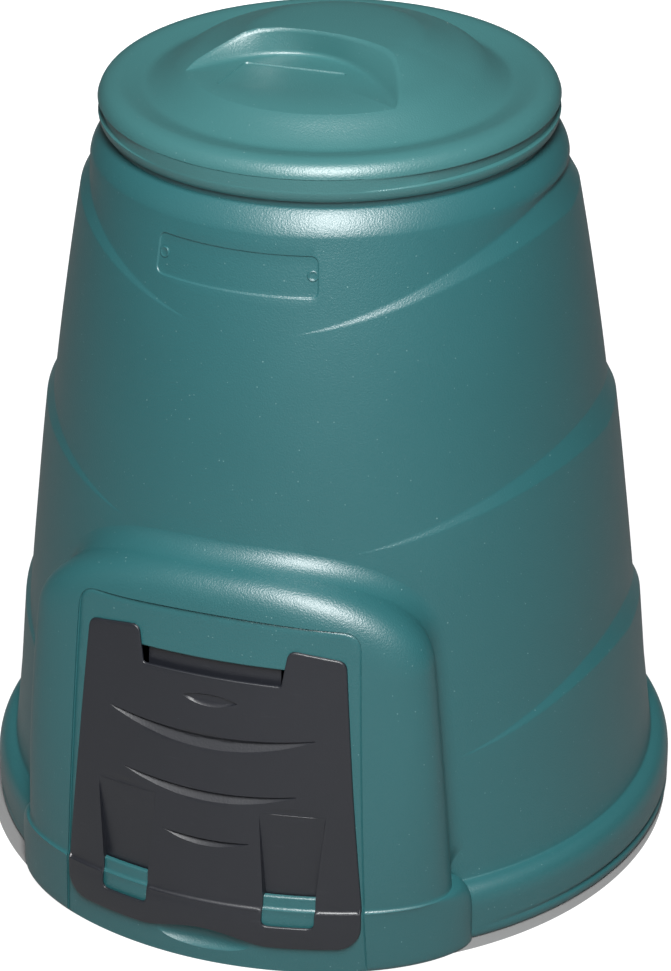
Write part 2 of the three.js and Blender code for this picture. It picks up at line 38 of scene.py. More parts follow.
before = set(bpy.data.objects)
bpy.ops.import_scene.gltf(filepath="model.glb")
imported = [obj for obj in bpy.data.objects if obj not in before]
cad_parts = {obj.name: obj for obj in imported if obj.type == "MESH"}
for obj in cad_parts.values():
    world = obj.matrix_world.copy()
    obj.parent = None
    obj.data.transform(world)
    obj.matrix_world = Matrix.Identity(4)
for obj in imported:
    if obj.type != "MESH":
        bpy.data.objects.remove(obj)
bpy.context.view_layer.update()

# The moulding's measures are millimetres, taken about the bin's upright axis
AXIS_Y = 16.5
WALL_TOP_Z = 716
WALL_FOOT_RADIUS = 357
WALL_TAPER = 108
FOOT_RADIUS = 370
# Height over which the bead's lowest edge tucks in, and by how much
TUCK_HEIGHT = 8
TUCK = 5
BEAD_TOP_Z = 61.5
BELLY_Z = 34
# Power of the rounded outlines of the beads and of the hood
ROUND = 2.6
FACE_REACH = 406.6
FACE_LEAN = 0.1425
HOOD_TOP_Z = 421
HOOD_BEND_Z = 330
HOOD_CREASE_Z = 73
HOOD_SPREAD = 37
HOOD_FLARE = 2.8
# How far the hood's root lies inside the wall
HOOD_ROOT = 2
HOOD_BEAD_RADIUS = 402
HOOD_BEAD_SPREAD = 42.3
CREASE_ROUND = 3.4
RECESS_DEPTH = 3.2
HATCH_BEAD_RADIUS = 403
CHANNEL_TOP_Z = 180
NECK_RADIUS = 225
NECK_TOP_Z = 811.7
# Tip angle, height, rise, height of the band, for the three swept steps
LEDGES = ((42, 201, 57, 20.5), (24, 433.5, 63.5, 27.5), (12, 653, 81, 27))
LEDGE_STEP = 4.6
# Radius of the wall at its bare plate, slope of the wall there, height of the bosses on the plate
PLATE_RADIUS = 247
WALL_SLOPE = 0.16
BOSS_Z = 709.5
LID_RADIUS = 234
LID_WALL = 3.6
LID_BACK_SWELL = 16
GRIP_X = -18
GRIP_HALF = 125
GRIP_TOP_Z = 863
SCOOP_FLOOR_Z = 834
# Share of the white surround that the plastics mirror, and of its light that falls on them
GLOSS_SHARE = 0.04
WORLD_FILL = 0.04
SHARP_ANGLE = 34
# The photograph's height and the camera's focal length in its pixels
PHOTO_HEIGHT = 971
PHOTO_FOCAL = 3501
WHITE = (1, 1, 1, 1)

# For each plastic: fleck colour, roughness, peel, flecks, tone, scuffs and strength of the bump
FINISHES = {
    "shell": ((0.17, 0.32, 0.32), 0.4, (560, 40, 0.5), (200, 0.16, 0.35), (5, 0.16), (16, 0.7, 0.05), 0.42),
    "lid": ((0.2, 0.36, 0.36), 0.4, (560, 40, 0.5), (200, 0.15, 0.3), (5, 0.16), (16, 0.7, 0.06), 0.42),
    "hatch": ((0.1, 0.11, 0.13), 0.42, (520, 40, 0.4), (120, 0.05, 0.12), (9, 0.25), (30, 0.62, 0.16), 0.2),
}


class BinSizes(bpy.types.PropertyGroup):
    """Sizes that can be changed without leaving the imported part."""

    wall: bpy.props.FloatProperty(
        name="Wall",
        description="Thickness of the blown shell",
        default=0.004, min=0.002, max=0.006, unit="LENGTH"
    )
    toe: bpy.props.FloatProperty(
        name="Hood toe",
        description="Hollow rounding where the hood meets the wall",
        default=0.02, min=0.002, max=0.03, unit="LENGTH"
    )
    crescent_depth: bpy.props.FloatProperty(
        name="Crescents",
        description="Depth of the crescents pressed into the hatch",
        default=0.0046, min=0.0005, max=0.006, unit="LENGTH"
    )
    plate_depth: bpy.props.FloatProperty(
        name="Bare plates",
        description="How far the bare plates are sunk",
        default=0.0014, min=0.0003, max=0.002, unit="LENGTH"
    )
    lid_groove: bpy.props.FloatProperty(
        name="Lid groove",
        description="Depth of the groove round the lid's skirt",
        default=0.004, min=0.001, max=0.005, unit="LENGTH"
    )


class BinColours(bpy.types.PropertyGroup):
    """Colours of the three mouldings and of the floor."""

    shell: bpy.props.FloatVectorProperty(
        name="Shell", description="Teal green",
        subtype="COLOR", size=3, min=0, max=1, default=(0.022, 0.126, 0.137)
    )
    lid: bpy.props.FloatVectorProperty(
        name="Lid", description="Paler green",
        subtype="COLOR", size=3, min=0, max=1, default=(0.046, 0.172, 0.176)
    )
    hatch: bpy.props.FloatVectorProperty(
        name="Hatch", description="Black",
        subtype="COLOR", size=3, min=0, max=1, default=(0.0105, 0.0122, 0.018)
    )
    floor: bpy.props.FloatVectorProperty(
        name="Floor", description="Studio floor",
        subtype="COLOR", size=3, min=0, max=1, default=(0.27, 0.27, 0.27)
    )


# Shape rules of the mouldings


def turns(end, count):
    return np.radians(np.linspace(0, end, count))


def crowded(count):
    """Numbers from -1 to 1 that lie closer towards both ends."""
    return np.sin(np.pi / 2 * np.linspace(-1, 1, count))


def wall_radius(z):
    t = np.asarray(z, float) / WALL_TOP_Z
    return WALL_FOOT_RADIUS - WALL_TAPER * (0.765 * t + 0.235 * t**3)


def bead_swell(z, crease):
    t = np.clip((np.asarray(z, float) - BELLY_Z) / (crease - BELLY_Z), 0, 1)
    return (1 - t**ROUND) ** (1 / ROUND)


def bead_tuck(z):
    t = np.clip(1 - np.asarray(z, float) / TUCK_HEIGHT, 0, 1)
    return TUCK * (1 - np.sqrt(1 - t**2))


def face_curve(z):
    """How strongly the hood's face curves: more towards the foot."""
    low = np.maximum(0, 1 - np.asarray(z, float) / 340) ** 2
    return (1 - low) / 1200 + low / 702


def face_y(x, z, depth):
    return AXIS_Y - (FACE_REACH - FACE_LEAN * z) + face_curve(z) * x * x + depth


def face_range(degrees, z, depth):
    """Distance of the hood's face from the axis in a direction."""
    reach = FACE_REACH - FACE_LEAN * z - depth
    turn = np.radians(degrees)
    across = np.sin(turn) ** 2 * face_curve(z)
    along = np.cos(turn)
    return 2 * reach / (along + np.sqrt(along**2 + 4 * across * reach))


def crease_fill(z):
    """How far the hollow rounding over the bead stands out from the face."""
    t = np.clip(CREASE_ROUND - (np.asarray(z, float) - HOOD_CREASE_Z), 0, CREASE_ROUND)
    return CREASE_ROUND - np.sqrt(CREASE_ROUND**2 - t**2)


def bead_heights():
    """Heights at which the hood's bead and the rounding over it turn."""
    up = np.sin(turns(90, 11)) ** (2 / ROUND)
    over = HOOD_CREASE_Z + CREASE_ROUND * np.array([0.07, 0.2, 0.42, 0.68, 1])
    return [*(BELLY_Z + (HOOD_CREASE_Z - BELLY_Z) * up), *over]


def front_y(x, z, depth, radius):
    """y of the hood's face or of its bead, moved inwards."""
    x, z = np.asarray(x, float), np.asarray(z, float)
    crease = face_y(x, HOOD_CREASE_Z, depth)
    belly = AXIS_Y - np.sqrt(np.maximum(1, radius**2 - x**2))
    bead = crease + np.minimum((belly - crease) * bead_swell(z, HOOD_CREASE_Z), -CREASE_ROUND)
    return np.where(z < HOOD_CREASE_Z, bead, face_y(x, z, depth) - crease_fill(z))


def turned(r, degrees, z):
    """Places at a distance from the axis and an angle from the front."""
    turn = np.radians(degrees)
    r, turn, z = np.broadcast_arrays(r, turn, z)
    return np.stack([r * np.sin(turn), AXIS_Y - r * np.cos(turn), z], -1)


def circle(radius, height, count):
    """Points of a level circle about the world's upright axis."""
    turn = np.linspace(0, 2 * math.pi, count + 1)[:-1]
    return np.stack([radius * np.cos(turn), radius * np.sin(turn), np.full(count, height)], -1)


def outward(degrees):
    return turned(1.0, degrees, 0.0) - turned(0.0, degrees, 0.0)


def corner(before, at, after, steps=5):
    """A rounded corner as points from before to after."""
    t = np.linspace(0, 1, steps)[:, None]
    before, at, after = (np.asarray(p, float) for p in (before, at, after))
    return (1 - t) ** 2 * before + 2 * t * (1 - t) * at + t * t * after


def ledge_places(degrees):
    folded = min(abs(degrees), 180 - abs(degrees))
    for tip, z, rise, band in LEDGES:
        along = max(0.0, (folded - tip) / (90 - tip))
        top = z + rise * math.sin(along * math.pi / 2) ** 1.2
        yield top - max(1.5, band * along), top, LEDGE_STEP * along


def wall_profile(degrees):
    """The shell's outside as [radius, z] from the ground to the neck's mouth."""
    folded = min(abs(degrees), 180 - abs(degrees))
    crease = float(wall_radius(BEAD_TOP_Z))
    z = np.array([0, 0.5, 1.3, 2.6, 4.4, 6.4, 8.5, 10, 11.4, 12.6, 13.5, 14.5, 15.6, 17, 19, 22, 26, 30])
    fade = min(1.0, max(0.0, (folded - 44) / 30))
    groove = 4.2 * fade * np.exp(-(((z - 13.5) / 2.6) ** 2))
    rows = [np.stack([FOOT_RADIUS - bead_tuck(z) - groove, z], 1)]
    turn = turns(90, 15)[:-1]
    out, up = np.cos(turn) ** (2 / ROUND), np.sin(turn) ** (2 / ROUND)
    bead = np.stack([crease + (FOOT_RADIUS - crease) * out, BELLY_Z + (BEAD_TOP_Z - BELLY_Z) * up], 1)
    bead = bead[bead[:, 0] > crease + 1.6]
    start, amount = BEAD_TOP_Z + 2.2, 0.0
    rows += [bead, corner(bead[-1], (crease, BEAD_TOP_Z), (wall_radius(start), start))[1:]]
    for low, top, step in ledge_places(degrees):
        middle = (start + low) / 2
        soft = min(2.0, 0.38 * (top - low))

        def swept(z):
            z = np.asarray(z, float)
            rising = np.interp(z, [start, middle, low], [-amount, 0, step])
            band = np.interp(z, [low, top], [wall_radius(low) + step, wall_radius(top) - step])
            return np.where(z <= low, wall_radius(z) + rising, band)

        z = np.linspace(start, low - soft, 11)[1:]
        rows.append(np.stack([swept(z), z], 1))
        foot = [(swept(h), h) for h in (low - soft, low, low + soft)]
        end = top + soft
        head = [(swept(top - soft), top - soft), (swept(top), top), (wall_radius(end) - step * 0.96, end)]
        rows += [corner(*foot)[1:], corner(*head)]
        start, amount = end, step * 0.96
    z = np.linspace(start, 741, 8)[1:]
    rows.append(np.stack([wall_radius(z) - np.interp(z, [start, 741], [amount, 0]), z], 1))
    turn = turns(90, 15)
    out, up = np.cos(turn) ** 1.6, np.sin(turn) ** 1.6
    rows.append(np.stack([NECK_RADIUS + 17.5 * out, 745 + 25 * up], 1))
    rows.append(np.array([[NECK_RADIUS - a, NECK_TOP_Z - b] for a, b in ((0, 1.6), (0.5, 0.5), (1.6, 0))]))
    return np.concatenate(rows)


def wall_at(degrees, z):
    profile = wall_profile(degrees)
    return np.interp(z, profile[:, 1], profile[:, 0])


def inner_profile(degrees):
    """The shell's inside, a wall further in, with fewer rows."""
    wall = 1000 * bpy.context.scene.bin_sizes.wall
    foot = FOOT_RADIUS - wall
    rows = [[foot, -6], [foot, BELLY_Z], [foot - 2, 47], [foot - 7, BEAD_TOP_Z - wall]]
    rows.append([float(wall_radius(BEAD_TOP_Z)) - wall, BEAD_TOP_Z + 1])
    below = BEAD_TOP_Z
    for low, top, step in ledge_places(degrees):
        for z, moved in (((below + low) / 2, 0), (low, step), (top, -step)):
            rows.append([float(wall_radius(z)) + moved - wall, z])
        below = top
    neck = NECK_RADIUS - wall
    return np.array([*rows, [238.5, 742], [235, 751], [228, 759], [neck, 768], [neck, NECK_TOP_Z + 6]])


def hood_spread(z):
    """Half the hood's width as an angle."""
    return HOOD_SPREAD + HOOD_FLARE * np.maximum(0, 1 - z / HOOD_BEND_Z)


def hood_powers(z):
    """How boxy the hood's level section is: the powers of its outline."""
    low = np.clip((HOOD_BEND_Z - z) / 250, 0, 1)
    return 6 - 1.4 * low, 3 - 0.6 * low


def hood_ring(z, inset, across):
    """A level line round the hood from its left root to its right root."""
    lift = max(0.0, (z - HOOD_BEND_Z) / (HOOD_TOP_Z - inset - HOOD_BEND_Z))
    spread = hood_spread(z) - math.degrees(inset / FOOT_RADIUS)
    half = spread * max(0.0, 1 - lift**2) ** (1 / ROUND)
    base = wall_radius(z) - HOOD_ROOT - inset
    degrees = half * crowded(across)
    edge = np.sqrt(np.abs(degrees / spread) ** ROUND + lift**2)
    over, under = hood_powers(z)
    swell = np.maximum(0, 1 - edge**over) ** (1 / under)
    face = face_range(degrees, z, inset) + crease_fill(z) * (inset == 0)
    return turned(base + (face - base) * swell, degrees, z)


def hood_bead_ring(z, inset, across):
    """A level line round the hood's bead, which swells out of the hood's lowest line."""
    crease_z = HOOD_CREASE_Z - inset
    crease = hood_ring(crease_z, inset, across)
    half = HOOD_BEAD_SPREAD - math.degrees(inset / FOOT_RADIUS)
    foot = FOOT_RADIUS - 4 - inset
    belly = HOOD_BEAD_RADIUS - inset - float(bead_tuck(max(0, z)))
    degrees = half * crowded(across)
    fade = np.maximum(0, 1 - np.abs(degrees / half) ** 5) ** (1 / 1.7)
    bead = turned(foot + (belly - foot) * fade, degrees, z)
    filled = 0
    if not inset and z >= BELLY_Z:
        filled = np.clip(CREASE_ROUND / np.linalg.norm(bead - crease, axis=1), 0, 0.5)
    swell = np.maximum(float(bead_swell(z, crease_z)), filled)
    ring = crease + (bead - crease) * np.broadcast_to(swell, (across,))[:, None]
    ring[:, 2] = z
    return ring


# Mesh work


def linked(name, data):
    """A new object in the scene."""
    made = bpy.data.objects.new(name, data)
    bpy.context.scene.collection.objects.link(made)
    return made


def used_up(thing):
    """Removes an object and its mesh."""
    mesh = thing.data
    bpy.data.objects.remove(thing)
    bpy.data.meshes.remove(mesh)


def evaluated_mesh(thing):
    """What an object's modifiers make, as a mesh of its own."""
    bpy.context.view_layer.update()
    return bpy.data.meshes.new_from_object(thing.evaluated_get(bpy.context.evaluated_depsgraph_get()))


def object_from(name, points, faces):
    """A mesh object from points in millimetres, with its faces turned outwards."""
    mesh = bpy.data.meshes.new(name)
    mesh.from_pydata((np.asarray(points, float) * 0.001).tolist(), [], [list(map(int, f)) for f in faces])
    work = bmesh.new()
    work.from_mesh(mesh)
    bmesh.ops.remove_doubles(work, verts=work.verts, dist=1e-6)
    bmesh.ops.recalc_face_normals(work, faces=work.faces)
    if work.calc_volume(signed=True) < 0:
        bmesh.ops.reverse_faces(work, faces=work.faces)
    work.to_mesh(mesh)
    work.free()
    return linked(name, mesh)


def loft(name, rings):
    """A closed solid through rings of as many points, with a fan at each end."""
    rings = np.asarray(rings, float)
    count, around = rings.shape[:2]
    points = rings.reshape(-1, 3)
    middles = np.stack([rings[0].mean(0), rings[-1].mean(0)])
    faces = []
    for k in range(count - 1):
        for i in range(around):
            a, b = k * around + i, k * around + (i + 1) % around
            faces.append((a, b, b + around, a + around))
    foot, head = len(points), len(points) + 1
    for i in range(around):
        j = (i + 1) % around
        faces.append((foot, j, i))
        faces.append((head, (count - 1) * around + i, (count - 1) * around + j))
    return object_from(name, np.concatenate([points, middles]), faces)


def rounded(points, steps=9, mirror=False):
    """An outline of [x, z, radius] corners as a loop of points, run anticlockwise."""
    if mirror:
        points = [*points, *[(-x, z, r) for x, z, r in reversed(points) if abs(x) > 1e-6]]
    loop = []
    for i, (x, z, radius) in enumerate(points):
        here = np.array([x, z], float)
        back = np.array(points[i - 1][:2], float) - here
        ahead = np.array(points[(i + 1) % len(points)][:2], float) - here
        before, after = np.linalg.norm(back), np.linalg.norm(ahead)
        reach = min(radius, before / 2, after / 2)
        if reach > 0:
            loop.extend(corner(here + back / before * reach, here, here + ahead / after * reach, steps))
        else:
            loop.append(here)
    loop = np.array(loop)
    loop = loop[np.linalg.norm(loop - np.roll(loop, 1, 0), axis=1) > 1e-4]
    area = np.sum(loop[:, 0] * np.roll(loop[:, 1], -1) - np.roll(loop[:, 0], -1) * loop[:, 1])
    return loop if area > 0 else loop[::-1]


def dense(loop, step):
    """The same loop with its long edges divided."""
    out = []
    for a, b in zip(loop, np.roll(loop, -1, 0)):
        parts = max(1, math.ceil(np.linalg.norm(b - a) / step))
        out.extend(a + (b - a) * k / parts for k in range(parts))
    return np.array(out)


def grown(loop, by):
    """The loop moved outwards by a distance."""
    ahead = np.roll(loop, -1, 0) - loop
    ahead /= np.linalg.norm(ahead, axis=1)[:, None]
    back = np.roll(ahead, 1, 0)
    normal = np.stack([ahead[:, 1] + back[:, 1], -ahead[:, 0] - back[:, 0]], 1)
    length = np.linalg.norm(normal, axis=1)
    return loop + by * normal / np.maximum(length, 1e-6)[:, None] * (2 / np.maximum(length, 0.8))[:, None]


def within(points, loops):
    """Which points lie inside an odd number of the loops."""
    x, y = points[:, 0], points[:, 1]
    inside = np.zeros(len(points), bool)
    for loop in loops:
        for (x0, y0), (x1, y1) in zip(loop, np.roll(loop, -1, 0)):
            crosses = (y0 > y) != (y1 > y)
            if y1 != y0:
                inside ^= crosses & (x < (x1 - x0) * (y - y0) / (y1 - y0) + x0)
    return inside


def filling(points, loops, spacing):
    """Grid points inside the loops that keep away from the points."""
    starts = (np.arange(a + spacing / 2, b, spacing) for a, b in zip(loops[0].min(0), loops[0].max(0)))
    grid = np.stack(np.meshgrid(*starts), -1).reshape(-1, 2)
    grid = grid[within(grid, loops)]
    if not len(grid):
        return grid
    near = []
    for i in range(0, len(grid), 500):
        near.append(np.sqrt(((grid[i : i + 500, None] - points[None]) ** 2).sum(-1)).min(1))
    return grid[np.concatenate(near) > 0.45 * spacing]


def sheet(loops, lines, spacing):
    """Triangles that fill the loops and follow the lines, as (points, faces)."""
    points, edges = [], []
    for loop in loops:
        start = len(points)
        points.extend(loop)
        edges.extend((start + i, start + (i + 1) % len(loop)) for i in range(len(loop)))
    for line in lines:
        start = len(points)
        points.extend(line)
        edges.extend((start + i, start + i + 1) for i in range(len(line) - 1))
    points = np.array(points)
    every = [Vector(p) for p in np.concatenate([points, filling(points, loops, spacing)])]
    out = geometry.delaunay_2d_cdt(every, edges, [], 0, 0.01)
    flat = np.array([(v.x, v.y) for v in out[0]])
    faces = np.array([f[:3] for f in out[2]])
    border = sum(len(loop) for loop in loops)
    fences = {(min(e), max(e)) for e, source in zip(out[1], out[4]) if any(k < border for k in source)}
    region = list(range(len(faces)))

    def head(i):
        while region[i] != i:
            region[i] = region[region[i]]
            i = region[i]
        return i

    met = {}
    for i, face in enumerate(faces):
        for a, b in zip(face, np.roll(face, -1)):
            edge = (min(a, b), max(a, b))
            if edge in met:
                region[head(i)] = head(met[edge])
            elif edge not in fences:
                met[edge] = i
    heads = np.array([head(i) for i in range(len(faces))])
    a, b, c = (flat[faces[:, k]] for k in range(3))
    area = np.abs((b[:, 0] - a[:, 0]) * (c[:, 1] - a[:, 1]) - (b[:, 1] - a[:, 1]) * (c[:, 0] - a[:, 0]))
    vote = np.bincount(heads, area * np.where(within((a + b + c) / 3, loops), 1, -1), len(faces))
    return flat, faces[vote[heads] > 0.01 * vote.max()]


def rim_edges(faces):
    """Directed edges that only one face uses."""
    pairs = np.concatenate([faces[:, [0, 1]], faces[:, [1, 2]], faces[:, [2, 0]]])
    seen = {tuple(p) for p in pairs}
    return [(a, b) for a, b in pairs if (b, a) not in seen]


def slab(name, flat, faces, near, far):
    """A closed plate over a flat triangulation, from two height rules."""
    count = len(flat)
    front = np.stack([flat[:, 0], near, flat[:, 1]], 1)
    back = np.stack([flat[:, 0], far, flat[:, 1]], 1)
    sides = [(a, b, b + count, a + count) for a, b in rim_edges(faces)]
    return object_from(name, np.concatenate([front, back]), [*faces, *(faces[:, ::-1] + count), *sides])


def cutter(name, loop, levels, place, spacing, lines=()):
    """A tool whose outline grows from level to level; levels are [growth, depth] from the deepest."""
    points, faces, rings = [], [], []
    total = 0
    for end in (0, len(levels) - 1):
        growth, depth = levels[end]
        flat, tris = sheet([grown(loop, growth)], [] if end else lines, spacing)
        points.append(place(flat[:, 0], flat[:, 1], depth))
        faces.extend(tris[:, ::-1] + total if end else tris + total)
        total += len(flat)
    for growth, depth in levels:
        edge = grown(loop, growth)
        points.append(place(edge[:, 0], edge[:, 1], depth))
        rings.append(total)
        total += len(edge)
    around = len(loop)
    for first, second in zip(rings, rings[1:]):
        for i in range(around):
            j = (i + 1) % around
            faces.append((first + i, first + j, second + j, second + i))
    return object_from(name, np.concatenate(points), faces)


def joined(target, tool, how):
    """Cuts a tool out of the target or adds it, as how says; the tool is used up."""
    before = len(target.data.polygons)
    change = target.modifiers.new("tool", "BOOLEAN")
    change.object, change.operation, change.solver = tool, how, "MANIFOLD"
    result = evaluated_mesh(target)
    target.modifiers.remove(change)
    old, target.data = target.data, result
    bpy.data.meshes.remove(old)
    used_up(tool)
    if not len(result.polygons) or len(result.polygons) == before:
        raise RuntimeError(f"{target.name}: a cut or join changed nothing")


def finish_piece(made, name, body, material, replaced):
    """Names a piece, smooths it between its sharp edges and hangs it on its body."""
    work = bmesh.new()
    work.from_mesh(made.data)
    bmesh.ops.remove_doubles(work, verts=work.verts, dist=4e-6)
    bmesh.ops.dissolve_degenerate(work, edges=work.edges, dist=2e-6)
    work.to_mesh(made.data)
    work.free()
    made.name = made.data.name = name
    made.data.polygons.foreach_set("use_smooth", np.ones(len(made.data.polygons), bool))
    made.data.set_sharp_from_angle(angle=math.radians(SHARP_ANGLE))
    made.data.materials.clear()
    made.data.materials.append(material)
    made.data.update()
    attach(made, body)
    if replaced:
        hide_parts(replaced)


# Node groups and finishes


def group_tree(name, kind, output, inputs):
    """A node group: the tree, its given sockets and the socket for its result."""
    tree = bpy.data.node_groups.new(name, kind)
    tree.interface.new_socket(output[0], in_out="OUTPUT", socket_type="NodeSocket" + output[1])
    for label, what, value in inputs:
        made = tree.interface.new_socket(label, in_out="INPUT", socket_type="NodeSocket" + what)
        if value is not None:
            made.default_value = value
    return tree, tree.nodes.new("NodeGroupInput").outputs, tree.nodes.new("NodeGroupOutput").inputs[0]


def shade_group(name, output, numbers):
    """A shading group that is given a place and some numbers."""
    inputs = [("Place", "Vector", None), *((label, "Float", value) for label, value in numbers.items())]
    return group_tree(name, "ShaderNodeTree", (output, "Float"), inputs)


def node(tree, kind, values=(), **settings):
    """Adds a node; values are (socket, number or output to link)."""
    made = tree.nodes.new(kind)
    for key, value in settings.items():
        setattr(made, key, value)
    for socket, value in values:
        if isinstance(value, bpy.types.NodeSocket):
            tree.links.new(value, made.inputs[socket])
        else:
            made.inputs[socket].default_value = value
    return made


def calc(tree, operation, a, b=0.0, clamp=False):
    return node(tree, "ShaderNodeMath", [(0, a), (1, b)], operation=operation, use_clamp=clamp).outputs[0]


def times(tree, a, b, clamp=False):
    return calc(tree, "MULTIPLY", a, b, clamp)


def plus(tree, a, b, clamp=False):
    return calc(tree, "ADD", a, b, clamp)


def minus(tree, a, b):
    return calc(tree, "SUBTRACT", a, b)


def noise(tree, place, scale, detail, roughness=0.5):
    values = [("Vector", place), ("Scale", scale), ("Detail", detail), ("Roughness", roughness)]
    return node(tree, "ShaderNodeTexNoise", values).outputs["Fac"]


def mixed(tree, share, first, second, blend="MIX"):
    """Two colours mixed by a share of the second."""
    values = [(0, share), (6, first), (7, second)]
    return node(tree, "ShaderNodeMix", values, data_type="RGBA", blend_type=blend).outputs[2]


def moulded_skin(name):
    """Fine orange peel with a slow waviness, as a height."""
    numbers = {"Peel size": 300, "Wave size": 30, "Wave share": 0.5}
    tree, given, out = shade_group(name, "Height", numbers)
    peel = noise(tree, given["Place"], given["Peel size"], 2, 0.55)
    wave = noise(tree, given["Place"], given["Wave size"], 1)
    tree.links.new(plus(tree, peel, times(tree, wave, given["Wave share"])), out)
    return tree


def pale_flecks(name):
    """Small scattered light specks, as a mask."""
    tree, given, out = shade_group(name, "Mask", {"Cells": 90, "Size": 0.07, "Share": 0.3})
    values = [("Vector", given["Place"]), ("Scale", given["Cells"])]
    cells = node(tree, "ShaderNodeTexVoronoi", values, feature="F1").outputs
    apart = node(tree, "ShaderNodeSeparateColor", [("Color", cells["Color"])]).outputs
    dot = calc(tree, "LESS_THAN", cells["Distance"], times(tree, given["Size"], apart["Green"]))
    chosen = calc(tree, "LESS_THAN", apart["Red"], given["Share"])
    tree.links.new(times(tree, times(tree, dot, chosen), apart["Blue"]), out)
    return tree


def slow_shade(name):
    """Broad cloudy differences of a moulding's tone, about one."""
    tree, given, out = shade_group(name, "Factor", {"Scale": 6, "Amount": 0.1})
    centred = minus(tree, noise(tree, given["Place"], given["Scale"], 4, 0.6), 0.5)
    tree.links.new(plus(tree, times(tree, centred, given["Amount"]), 1), out)
    return tree


def rubbed_marks(name):
    """Faint dry scuffs, stretched along the ground plane, as a mask."""
    tree, given, out = shade_group(name, "Mask", {"Scale": 18, "Above": 0.66})
    values = [(0, given["Place"]), (1, (1, 1, 5))]
    stretched = node(tree, "ShaderNodeVectorMath", values, operation="MULTIPLY").outputs[0]
    over = minus(tree, noise(tree, stretched, given["Scale"], 6, 0.7), given["Above"])
    tree.links.new(times(tree, over, 6, clamp=True), out)
    return tree


def plastic(which):
    """A new plastic for one moulding."""
    pale, roughness, peel, flecks, tone, scuffs, bump = FINISHES[which]
    colour = getattr(bpy.context.scene.bin_colours, which)
    made = bpy.data.materials.new(which + "_plastic")
    made.use_nodes = True
    tree = made.node_tree
    shader = tree.nodes["Principled BSDF"]
    place = node(tree, "ShaderNodeTexCoord").outputs["Object"]

    def group(maker, labels, values):
        title = maker.__name__.replace("_", " ")
        shared = bpy.data.node_groups.get(title) or maker(title)
        inputs = [("Place", place), *zip(labels, values)]
        return node(tree, "ShaderNodeGroup", inputs, node_tree=shared).outputs[0]

    skin = group(moulded_skin, ("Peel size", "Wave size", "Wave share"), peel)
    specks = group(pale_flecks, ("Cells", "Size", "Share"), flecks)
    cloud = group(slow_shade, ("Scale", "Amount"), tone)
    rubbed = group(rubbed_marks, ("Scale", "Above"), scuffs)
    shaded = mixed(tree, 1, (*colour, 1), cloud, "MULTIPLY")
    speckled = mixed(tree, specks, shaded, (*pale, 1))
    dulled = mixed(tree, times(tree, rubbed, scuffs[2]), speckled, (*pale, 1))
    tree.links.new(dulled, shader.inputs["Base Color"])
    rough = plus(tree, times(tree, minus(tree, cloud, 1), 0.5), roughness)
    tree.links.new(plus(tree, rough, times(tree, rubbed, 0.12)), shader.inputs["Roughness"])
    bumped = node(tree, "ShaderNodeBump", [("Strength", bump), ("Distance", 0.0008), ("Height", skin)])
    tree.links.new(bumped.outputs[0], shader.inputs["Normal"])
    shader.inputs["IOR"].default_value = 1.5
    shader.inputs["Specular IOR Level"].default_value = 1
    return made


def shell_plastic():
    """The shell's plastic, which the bosses share."""
    return bpy.data.materials.get("shell_plastic") or plastic("shell")


def real_and_painted(tree, shape, given, out):
    """The end of a Geometry Nodes tree: real geometry with its finish."""
    real = node(tree, "GeometryNodeRealizeInstances", [("Geometry", shape)])
    ends = [("Geometry", real.outputs[0]), ("Material", given["Finish"])]
    tree.links.new(node(tree, "GeometryNodeSetMaterial", ends).outputs[0], out)


def worked(mesh, tree, values):
    """What a Geometry Nodes tree makes of a mesh, which is used up."""
    carrier = linked(mesh.name, mesh)
    change = carrier.modifiers.new("nodes", "NODES")
    change.node_group = tree
    sockets = {s.name: s.identifier for s in tree.interface.items_tree if s.in_out == "INPUT"}
    for label, value in values.items():
        change[sockets[label]] = value
    done = evaluated_mesh(carrier)
    used_up(carrier)
    return done


# Operators


